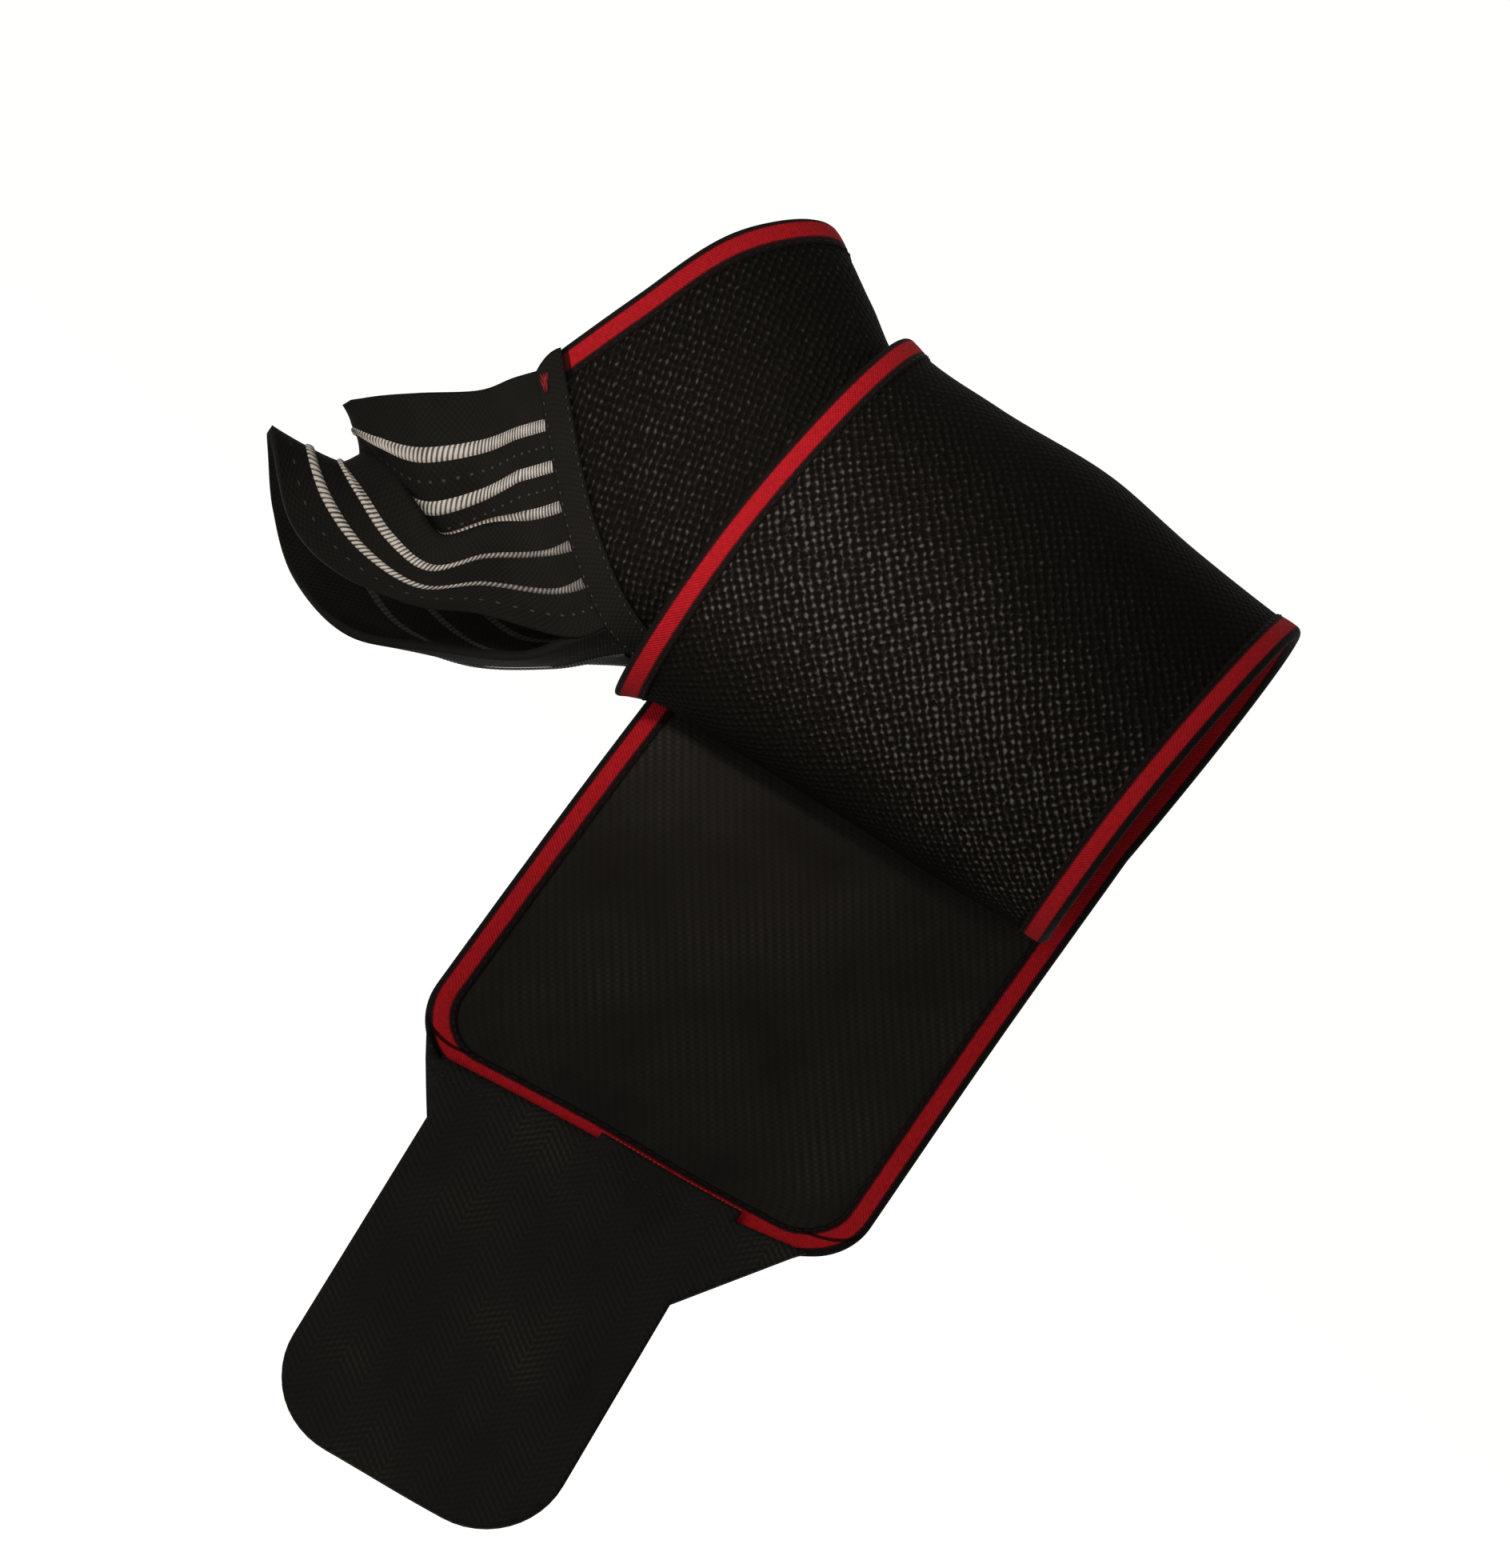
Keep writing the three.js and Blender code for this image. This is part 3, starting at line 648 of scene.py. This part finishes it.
def ladderYarn(length, index):
    material, tree, node = newMaterial("ladderYarn", ladder)
    place = clothPlace(node, length, strap["stripe"])
    x, y, _ = node("SeparateXYZ", [place]).outputs
    slanted = node("Math", [y, ladder["lean"], x], operation="MULTIPLY_ADD")
    angle = node("Math", [slanted, fullTurn / strap["rung"]], operation="MULTIPLY")
    wave = node("Math", [angle], operation="SINE")
    rung = node("Math", [wave, 0.5, 0.5], operation="MULTIPLY_ADD")
    scale, gain, base = ladder["patch"]
    patch = node("TexNoise", {"Vector": place, "Scale": scale, "Detail": 2.0})
    worn = node("Math", [patch, gain, base], operation="MULTIPLY_ADD")
    share = node("Math", [x, length], operation="DIVIDE")
    # greyer near the seam end and darker towards the palm end
    toneAtEnds = node("ValToRGB", [share], [(0.1, ladder["nearSeam"][index]), (0.22, "#FFFFFF"),
                                        (0.7, "#FFFFFF"), (0.78, ladder["onPalm"])])
    tone = node("Math", [rung, worn], operation="ADD")
    tone = node("Math", [tone, toneAtEnds], operation="MULTIPLY")
    colour = node("ValToRGB", [tone], ladder["colours"])
    coverShader(tree, ladder, colour, rung)
    return material


# Brushed nylon twill that backs the hooks: faint herringbone, matte black
twill = {
    "roughness": 0.8,
    "specular": 0.02,
    "relief": 0.15,
    "strength": 0.7,
    "herring": 5.0,
    "slope": 0.8,
    "pitch": 1.25,
    "thread": 0.9,
    "patch": (0.05, 1.6, -0.5),
    "colours": [(0.2, "#080706"), (0.6, "#0E0C0A"), (1.0, "#1C1915")],
}


def hookTwill(width, length):
    material, tree, node = newMaterial("hookTwill", twill)
    place = clothPlace(node, width, length)
    x, y, _ = node("SeparateXYZ", [place]).outputs
    herring = node("Math", [x, twill["herring"]], operation="PINGPONG")
    slope = node("Math", [herring, twill["slope"], y], operation="MULTIPLY_ADD")
    pitches = [(slope, twill["pitch"]), (x, twill["thread"])]
    angles = [node("Math", [side, fullTurn / pitch], operation="MULTIPLY") for side, pitch in pitches]
    lines, threads = [node("Math", [angle], operation="SINE") for angle in angles]
    height = node("Math", [threads, 0.4, lines], operation="MULTIPLY_ADD")
    height = node("Math", [height, 0.35, 0.5], operation="MULTIPLY_ADD")
    scale, gain, base = twill["patch"]
    patch = node("TexNoise", {"Vector": place, "Scale": scale, "Detail": 2.0})
    worn = node("Math", [patch, gain, base], operation="MULTIPLY_ADD")
    tone = node("Math", [height, worn], operation="MULTIPLY")
    tone = node("Math", [tone, 0.8, 0.35], operation="MULTIPLY_ADD")
    colour = node("ValToRGB", [tone], twill["colours"])
    coverShader(tree, twill, colour, height)
    return material


# Spun polyester sewing thread: tiny rounded stitches with a faint gloss
thread = {"roughness": 0.6, "specular": 0.06, "relief": 0.05, "strength": 0.5, "strands": 2600,
          "between": "#060505"}


def sewingThread(name, colourText):
    material, tree, node = newMaterial(name, thread)
    place = node("TexCoord").outputs["Object"]
    strands = node("TexNoise", {"Vector": place, "Scale": thread["strands"], "Detail": 2.0})
    colours = {0: strands, 6: hexColour(colourText), 7: hexColour(thread["between"])}
    colour = node("Mix", colours, data_type="RGBA").outputs[2]
    coverShader(tree, thread, colour, strands)
    return material


# Mesh pieces
def placePiece(name, bm):
    mesh = bpy.data.meshes.new(name)
    bm.to_mesh(mesh)
    bm.free()
    mesh.shade_smooth()
    piece = bpy.data.objects.new(name, mesh)
    bpy.context.collection.objects.link(piece)
    return piece


def clothGrid(name, columns, rows, place, turned=False):
    # a grid of cloth whose map is kept while its points are moved to their place in mm
    bm = bmesh.new()
    bm.loops.layers.uv.new("cloth")
    bmesh.ops.create_grid(bm, x_segments=columns, y_segments=rows, size=0.5, calc_uvs=True)
    for vert in bm.verts:
        vert.co = place(vert.co.x + 0.5, vert.co.y + 0.5) * mm
    if turned:
        bmesh.ops.reverse_faces(bm, faces=bm.faces[:])
    return placePiece(name, bm)


def thicken(piece, thickness, offset, inside=0, even=True):
    # inside is the material slot of the inner face, counted on from the outer one
    solid = piece.modifiers.new("wall", "SOLIDIFY")
    solid.thickness = thickness * mm
    solid.offset = offset
    solid.material_offset = inside
    solid.use_even_offset = even


def finishPiece(piece, slotName, *nodes):
    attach(piece, "root")
    if nodes:
        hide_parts(*nodes)


def edgeInset(run, radius):
    if run >= radius:
        return 0
    return radius - math.sqrt(max(radius * radius - (radius - run) ** 2, 0))


def makeBand():
    # the cloth ends a little inside the fold of its binding
    length = bandLength - band["inset"]

    def place(u, v):
        run = u * length
        station = stationAt(run)
        fromEnd = length - run
        inset = band["inset"] + edgeInset(fromEnd, band["corner"] - band["inset"])
        return bandPoint(station, mixed(inset, band["width"] - inset, v), 0)

    piece = clothGrid("bandCloth", band["steps"], band["rows"], place, turned=True)
    thicken(piece, band["thickness"], 0, inside=1)
    piece.data.materials.append(birdseyeKnit())
    piece.data.materials.append(ribbedKnit())
    finishPiece(piece, "band_mesh", "band")
    return piece


# Places round the band's outline: hand edge, corner, end, corner, elbow edge
def outlineRuns():
    straight = bandLength - band["corner"]
    arc = band["corner"] * math.pi / 2
    end = band["width"] - 2 * band["corner"]
    return straight, arc, end, 2 * straight + 2 * arc + end


def outlinePlace(run):
    straight, arc, end, total = outlineRuns()
    radius = band["corner"]
    if run <= straight:
        return stationAt(run), 0, (0, 1)
    if run >= total - straight:
        return stationAt(total - run), band["width"], (0, -1)
    past = run - straight
    if past < arc:
        angle = past / arc * math.pi / 2
        centre = radius
    elif past < arc + end:
        return 2, radius + past - arc, (-1, 0)
    else:
        angle = math.pi / 2 + (past - arc - end) / arc * math.pi / 2
        centre = band["width"] - radius
    ahead = math.sin(angle)
    aside = -math.cos(angle)
    return 2 - (radius - ahead * radius) / band["tail"], centre + aside * radius, (-ahead, -aside)


# Section of the folded tape, from its edge on the outside round the fold to the inside
def tapeSection(v):
    flat = binding["width"] - bindingHalf
    arc = math.pi * bindingHalf
    run = v * (2 * flat + arc)
    if run < flat:
        return binding["width"] - run, bindingHalf
    if run > flat + arc:
        return bindingHalf + run - flat - arc, -bindingHalf
    angle = (run - flat) / bindingHalf
    return bindingHalf - bindingHalf * math.sin(angle), bindingHalf * math.cos(angle)


def makeBinding():
    straight, arc, end, total = outlineRuns()
    width = 2 * (binding["width"] - bindingHalf) + math.pi * bindingHalf

    def place(u, v):
        station, across, inward = outlinePlace(u * total)
        depth, out = tapeSection(v)
        # pressed down by its stitches
        settle = binding["settle"] * smooth(binding["settleFrom"], binding["width"], depth)
        out -= math.copysign(settle, out)
        return bandPoint(station + inward[0] * depth / band["tail"], across + inward[1] * depth, out)

    piece = clothGrid("foldedBinding", binding["steps"], binding["rows"], place)
    thicken(piece, binding["wall"], -1)
    first, second = binding["mitres"]
    mitres = [(straight + first * arc, -tape["mitreLean"]),
              (straight + second * arc + end, tape["mitreLean"])]
    piece.data.materials.append(foldedTape(total, width, mitres))
    finishPiece(piece, "binding_tape", "edge_binding")
    return piece


# Thumb loop
def loopRows():
    rows = []
    for share, palm, *backs in loopEnds:
        hand = band["width"] if palm else strap["start"]
        width = clearance - band["width"] + strap["width"] if palm else strap["width"] - strap["start"]
        row = [share]
        for i, back in enumerate(backs):
            row.extend(seamPoint(clearance + back * strap["width"], hand + width * i / 2, 0))
        rows.append(row)
    for share, *places in loopSections:
        row = [share]
        for i in (0, 3, 6):
            reach, depth, rise = places[i:i + 3]
            row.extend((
                wraps[0][1] * band["width"] - reach * strap["reach"],
                depth * wrist["halfDepth"],
                rise * wrist["halfWidth"],
            ))
        rows.append(row)
    return sorted(rows)


loopTable = loopRows()

# Fold where the strap bends round the root of the thumb, its thumb half laid over its hand half:
# share, depth, then how far the thumb half reaches towards the elbow, forwards, and its ridge up
foldRows = [
    (0.08, 0.0, 0.0, 0.0, 0.0),
    (0.14, 3.0, 1.0, 0.4, 0.6),
    (0.2, 5.0, 3.6, 1.2, 2.0),
    (0.27, 6.0, 5.8, 2.2, 3.8),
    (0.34, 5.8, 5.6, 2.2, 3.8),
    (0.42, 2.5, 2.2, 0.8, 1.0),
    (0.5, 0.0, 0.0, 0.0, 0.0),
]
# Where the fold starts, bottoms, rises and settles, as shares of the strap's width
fold = {"from": 0.15, "bottom": 0.46, "ridge": 0.545, "lifted": 0.65, "settled": 0.93, "tuck": 0.5}


@lru_cache(maxsize=4096)
def loopRow(share):
    numbers = [readTable(loopTable, i, share) for i in range(1, 10)]
    return Vector(numbers[0:3]), Vector(numbers[3:6]), Vector(numbers[6:9])


def loopBase(share, across):
    hand, middle, thumb = loopRow(round(share, 6))
    t = across
    return hand * (2 * (t - 0.5) * (t - 1)) - middle * (4 * t * (t - 1)) + thumb * (2 * t * (t - 0.5))


def loopMiddle(share, across):
    depth, reach, forward, lift = (readTable(foldRows, i, share) for i in (1, 2, 3, 4))
    point = loopBase(share, across)
    if depth <= 0:
        return point
    along = loopBase(share + slopeStep, across) - loopBase(share - slopeStep, across)
    over = loopBase(share, min(across + slopeStep, 1)) - loopBase(share, max(across - slopeStep, 0))
    over.normalize()
    outward = along.cross(over).normalized()
    risen = smooth(fold["bottom"], fold["ridge"], across)
    tucked = depth * smooth(fold["from"], fold["bottom"], across) * (1 - risen)
    laid = risen * (1 - smooth(fold["ridge"], fold["settled"], across))
    lifted = lift * risen * (1 - smooth(fold["ridge"], fold["lifted"], across))
    inward = (over * fold["tuck"] - outward) * tucked
    return point + inward + Vector((reach * laid, -forward * laid, lifted))


def loopPoint(share, across, out):
    along = loopMiddle(min(share + slopeStep, 1), across) - loopMiddle(max(share - slopeStep, 0), across)
    over = loopMiddle(share, min(across + slopeStep, 1)) - loopMiddle(share, max(across - slopeStep, 0))
    return loopMiddle(share, across) + along.cross(over).normalized() * out


def loopLength(across):
    points = [loopMiddle(i / 100, across) for i in range(101)]
    return sum((b - a).length for a, b in zip(points, points[1:]))


def stripeCentre(index):
    return strap["width"] / 2 + (index - 2) * strap["stripePitch"]


def makeLoop():
    length = loopLength(0.5)
    piece = clothGrid("loopStrap", strap["steps"], strap["rows"], lambda u, v: loopPoint(u, v, 0))
    thicken(piece, strap["thickness"], 0, inside=1, even=False)  # even walls would spike at the fold
    dotted = [stripeCentre(0.5), stripeCentre(1.5), strap["width"] - strap["dotsFromEdge"]]
    backs = [stripeCentre(i) for i in range(strap["stripes"])]
    piece.data.materials.append(wovenElastic("loopElastic", length, strap["width"], dotted))
    piece.data.materials.append(wovenElastic("loopElasticInside", length, strap["width"], lines=backs))
    finishPiece(piece, "loop_elastic", "thumb_loop")
    return piece, length


def makeStripe(index):
    centre = stripeCentre(index)
    length = loopLength(centre / strap["width"])
    low = strap["thickness"] / 2 + strap["stripeLift"]

    def place(u, v):
        share = mixed(strap["stripeFrom"], strap["stripeTo"], u)
        pulled = strap["pulled"][index] * smooth(0.02, 0.07, share) * (1 - smooth(0.16, 0.22, share))
        across = (centre + (v - 0.5) * strap["stripe"] * (strap["shown"] - pulled)) / strap["width"]
        crown = (1 - (2 * v - 1) ** 4) * strap["stripeHeight"]
        rung = 1 - strap["rungDip"] * (1 - math.cos(fullTurn * u * length / strap["rung"]))
        return loopPoint(share, across, low + crown * rung)

    columns = round(length / strap["rung"] * strap["rungSteps"])
    piece = clothGrid("gripStripe%d" % (index + 1), columns, strap["stripeRows"], place)
    piece.data.materials.append(ladderYarn(length, index))
    finishPiece(piece, "grip_yarn", "grip_stripe_%d" % (index + 1))
    return piece


# Tape over the seam
seamTape = {"width": 5, "thickness": 0.6, "gap": 0.75, "start": -0.9, "slope": 2.6, "sunk": 0.6,
            "crown": 0.25, "steps": 120, "rows": 12}


def makeSeamTape():
    start = seamTape["start"]
    end = band["width"] - binding["width"] - clearance
    height = bandHalf + seamTape["gap"] + seamTape["sunk"] * seamTape["thickness"]

    def place(u, v):
        crown = seamTape["crown"] * (1 - (2 * v - 1) ** 2)
        low = start + seamTape["slope"] * v * v
        return seamPoint((v - 0.5) * seamTape["width"], mixed(low, end, u), height + crown)

    piece = clothGrid("seamCover", seamTape["steps"], seamTape["rows"], place, turned=True)
    thicken(piece, seamTape["thickness"], -1)
    piece.data.materials.append(wovenElastic("seamCloth", end - start, seamTape["width"]))
    finishPiece(piece, "loop_elastic", "seam_tape")
    return piece


# Hook tab: the outline is a row of points down each side, in mm across and past the end
tab = {
    "width": 49.6,
    "length": 66,
    "thickness": 1.4,
    "pressed": 0.25,
    "offset": -4.85,
    "corner": 14,
    "shoulderHand": 9,
    "shoulderElbow": 16.8,
    "over": 4,
    "cut": 2,
    "cornerSteps": 12,
    "flat": (74, 70),
    "area": 4100,
    "edge": [(0.1, 0.12), (0.45, 0.3), (0.77, 0.56), (1.0, 0.12)],
    "handCorner": [(3.2, 4.4), (5.2, 2.6)],
    "elbowCorner": (75.6, 1.8),
}


def tabOutline():
    centre = band["width"] / 2 + tab["offset"]
    left = centre - tab["width"] / 2
    right = centre + tab["width"] / 2
    radius = tab["corner"]
    foot = -(tab["length"] - radius)
    quarter = [i / tab["cornerSteps"] / 2 for i in range(tab["cornerSteps"] + 1)]
    points = [tab["handCorner"][0], (left, -tab["shoulderHand"])]
    for middle, start in ((left + radius, 1), (right - radius, 1.5)):
        for part in quarter:
            angle = math.pi * (start + part)
            points.append((middle + radius * math.cos(angle), foot + radius * math.sin(angle)))
    points += [(right, -tab["shoulderElbow"]), tab["elbowCorner"]]
    # the upper edge goes back in steps over the end binding
    edge = [(to * band["width"], overlap * binding["width"]) for to, overlap in reversed(tab["edge"])]
    for (x, y), (nextX, nextY) in zip(edge, edge[1:]):
        points += [(nextX, y), (nextX, nextY)]
    return [*points, tab["handCorner"][1]]


def makeTab():
    length = tab["length"] + tab["over"]
    bm = bmesh.new()
    bm.faces.new([bm.verts.new((x, y, 0)) for x, y in tabOutline()])
    # cut into squares, so that the cloth can bend with the band
    cuts = [((0, y, 0), (0, 1, 0)) for y in range(tab["cut"] - tab["length"], tab["over"], tab["cut"])]
    cuts += [((x, 0, 0), (1, 0, 0)) for x in range(tab["cut"], band["width"], tab["cut"])]
    for place, facing in cuts:
        bmesh.ops.bisect_plane(bm, geom=bm.verts[:] + bm.edges[:] + bm.faces[:],
                               plane_co=place, plane_no=facing)
    uv = bm.loops.layers.uv.new("cloth")
    for face in bm.faces:
        for loop in face.loops:
            loop[uv].uv = (loop.vert.co.x / band["width"], (loop.vert.co.y + tab["length"]) / length)
    level = -(bindingHalf + clearance)
    for vert in bm.verts:
        vert.co = bandPoint(2 - vert.co.y / band["tail"], vert.co.x, level - tab["thickness"]) * mm
    piece = placePiece("hookTab", bm)
    thicken(piece, tab["thickness"] + tab["pressed"], -1)
    piece.data.materials.append(hookTwill(band["width"], length))
    finishPiece(piece, "hook_fabric", "hook_tab")
    return piece


# Stitches: each a short rounded thread on the cloth, sizes in mm
stitch = {"sides": 6, "rings": 4}
seamStitch = {"pitch": 1.75, "radius": 0.12, "length": 0.7, "rows": (-2.0, 2.0), "from": 6, "to": 76}
bindingStitch = {"pitch": 2.1, "radius": 0.12, "length": 1.5, "fromEdge": 0.45, "sunk": 0.16, "ends": 4}
tabStitch = {"pitch": 2.4, "radius": 0.15, "length": 1.6, "back": 1.6, "from": 6.5, "to": 73, "proud": 0.05}
endStitch = {"pitch": 0.8, "radius": 0.17, "length": 0.7, "past": 0.15, "lift": 0.25, "kept": 0.85}
tabLevel = -(bindingHalf + clearance + tab["thickness"] + tabStitch["proud"])


def stitchShape(size):
    long = size["length"] / 2 * mm
    thick = size["radius"] * mm
    bm = bmesh.new()
    bmesh.ops.create_uvsphere(bm, u_segments=stitch["sides"], v_segments=stitch["rings"], radius=1,
                              matrix=Matrix.Diagonal((long, thick, thick, 1)))
    mesh = bpy.data.meshes.new("stitch")
    bm.to_mesh(mesh)
    bm.free()
    return mesh


def makeStitches(name, places, size, material, slotName):
    shape = stitchShape(size)
    bm = bmesh.new()
    for point, along in places:
        turned = along.to_track_quat("X", "Z").to_matrix().to_4x4()
        put = Matrix.Translation(point * mm) @ turned
        shape.transform(put)
        bm.from_mesh(shape)
        shape.transform(put.inverted())
    bpy.data.meshes.remove(shape)
    piece = placePiece(name, bm)
    piece.data.materials.append(material)
    finishPiece(piece, slotName)
    return piece


def rowOf(place, low, high, pitch, reach=0.2):
    # evenly pitched places along a line, each with the way it runs there
    count = round((high - low) / pitch)
    for i in range(count):
        at = low + (i + 0.5) * (high - low) / count
        yield place(at), (place(at + reach) - place(at - reach)).normalized()


def sewSeam():
    top = bandHalf + seamTape["gap"] + seamTape["thickness"]
    places = []
    for back in seamStitch["rows"]:
        places.extend(rowOf(lambda at: seamPoint(back, at, top),
                            seamStitch["from"], seamStitch["to"], seamStitch["pitch"]))
    grey = sewingThread("greyThread", "#2E2B28")
    return makeStitches("seamStitches", places, seamStitch, grey, "loop_elastic")


def sewBinding():
    total = outlineRuns()[3]
    depth = binding["width"] - bindingStitch["fromEdge"]
    level = bindingHalf - bindingStitch["sunk"]

    def edgePlace(run, out):
        station, across, inward = outlinePlace(run)
        return bandPoint(station + inward[0] * depth / band["tail"], across + inward[1] * depth, out)

    places = []
    for out in (level, -level):
        places.extend(rowOf(lambda run: edgePlace(run, out),
                            bindingStitch["ends"], total - bindingStitch["ends"], bindingStitch["pitch"]))
    wine = sewingThread("wineThread", "#160405")
    return makeStitches("bindingStitches", places, bindingStitch, wine, "binding_tape")


def sewTab():
    station = 2 + tabStitch["back"] / band["tail"]
    row = rowOf(lambda at: bandPoint(station, at, tabLevel),
                tabStitch["from"], tabStitch["to"], tabStitch["pitch"])
    black = sewingThread("blackThread", "#0F0D0B")
    return makeStitches("tabStitches", row, tabStitch, black, "hook_fabric")


def sewEnd():
    # the end binding's own red thread, where the tab leaves a hairline of it open
    (low, _), (high, overlap) = tab["edge"][1:3]
    station = 2 - (overlap * binding["width"] + endStitch["past"]) / band["tail"]
    picks = random.Random(2)
    row = rowOf(lambda at: bandPoint(station, at, tabLevel + endStitch["lift"]),
                low * band["width"], high * band["width"], endStitch["pitch"])
    places = [place for place in row if picks.random() < endStitch["kept"]]
    red = sewingThread("redThread", "#86171A")
    return makeStitches("endStitches", places, endStitch, red, "binding_tape")


# Frayed tip of the red tape, where the seam cover leaves its end out
tuft = {
    "threads": 9,
    "radius": 0.19,
    "length": 2.4,
    "back": (0.7, 1.7),
    "across": (2.9, 4.5),
    "lift": (0.1, 0.35),
    "stray": 0.4,
    "dip": 0.1,
}


def makeTuft():
    picks = random.Random(5)
    places = []
    for _ in range(tuft["threads"]):
        back = picks.uniform(*tuft["back"])
        across = picks.uniform(*tuft["across"])
        out = bandHalf + seamTape["gap"] + seamTape["thickness"] + picks.uniform(*tuft["lift"])
        start = seamPoint(back, across, out)
        end = seamPoint(back + picks.uniform(-tuft["stray"], tuft["stray"]), across + 1, out - tuft["dip"])
        places.append((start, (end - start).normalized()))
    frayed = sewingThread("frayedThread", "#5E0E12")
    return makeStitches("frayedTip", places, tuft, frayed, "binding_tape")


bandPiece = makeBand()
print("band made")
bindingPiece = makeBinding()
print("binding made")
loopPiece, loopRun = makeLoop()
stripes = [makeStripe(i) for i in range(strap["stripes"])]
print("thumb loop made")
seamPiece = makeSeamTape()
tabPiece = makeTab()
print("seam and tab made")
seamStitches = sewSeam()
bindingStitches = sewBinding()
tabStitches = sewTab()
endStitches = sewEnd()
tip = makeTuft()
print("stitches made")


# Pale floor well below, a bright even room and two soft lamps
studio = {
    "room": "#FEFEFA",
    "brightness": 1.03,
    "floor": -330,
    "floorGlow": 0.1,
    "paper": {"roughness": 0.9, "specular": 0.0},
    "key": {"place": (-430, -640, -190), "aim": (-20, -20, -30), "size": 380, "power": 7.0},
    "spot": {"place": (-60, -700, 60), "aim": (-42, -25, -8), "angle": 7, "power": 100.0},
}


def aimed(lamp, place, aim):
    lamp.location = Vector(place) * mm
    lamp.rotation_euler = (Vector(aim) - Vector(place)).to_track_quat("-Z", "Y").to_euler()
    bpy.context.collection.objects.link(lamp)


def makeStudio():
    world = bpy.data.worlds.new("room")
    world.use_nodes = True
    world.node_tree.nodes["Background"].inputs["Color"].default_value = hexColour(studio["room"])
    world.node_tree.nodes["Background"].inputs["Strength"].default_value = studio["brightness"]
    bpy.context.scene.world = world
    bm = bmesh.new()
    bmesh.ops.create_grid(bm, x_segments=2, y_segments=2, size=20)
    bmesh.ops.translate(bm, vec=(0, 0, studio["floor"] * mm), verts=bm.verts[:])
    mesh = bpy.data.meshes.new("floor")
    bm.to_mesh(mesh)
    bm.free()
    floor = bpy.data.objects.new("floor", mesh)
    bpy.context.collection.objects.link(floor)
    # matte paper whose tone hardly varies, lit a little from below
    material, tree, node = newMaterial("paperFloor", studio["paper"])
    place = node("TexCoord").outputs["Object"]
    grain = node("TexNoise", {"Vector": place, "Scale": 900, "Detail": 2.0})
    colour = node("ValToRGB", [grain], [(0.0, "#FBFBF8"), (1.0, "#FFFFFE")])
    shader = tree.nodes["Principled BSDF"]
    tree.links.new(socketOf(colour), shader.inputs["Base Color"])
    shader.inputs["Emission Color"].default_value = hexColour(studio["room"])
    shader.inputs["Emission Strength"].default_value = studio["floorGlow"]
    mesh.materials.append(material)
    key = bpy.data.lights.new("key", "AREA")
    key.size = studio["key"]["size"] * mm
    key.energy = studio["key"]["power"]
    aimed(bpy.data.objects.new("key", key), studio["key"]["place"], studio["key"]["aim"])
    spot = bpy.data.lights.new("spot", "SPOT")
    spot.energy = studio["spot"]["power"]
    spot.spot_size = math.radians(studio["spot"]["angle"])
    spot.spot_blend = 1.0
    spot.shadow_soft_size = 0.05
    aimed(bpy.data.objects.new("spot", spot), studio["spot"]["place"], studio["spot"]["aim"])
    settings = bpy.context.scene.view_settings
    settings.view_transform = "Standard"
    settings.look = "None"


makeStudio()
print("studio made")
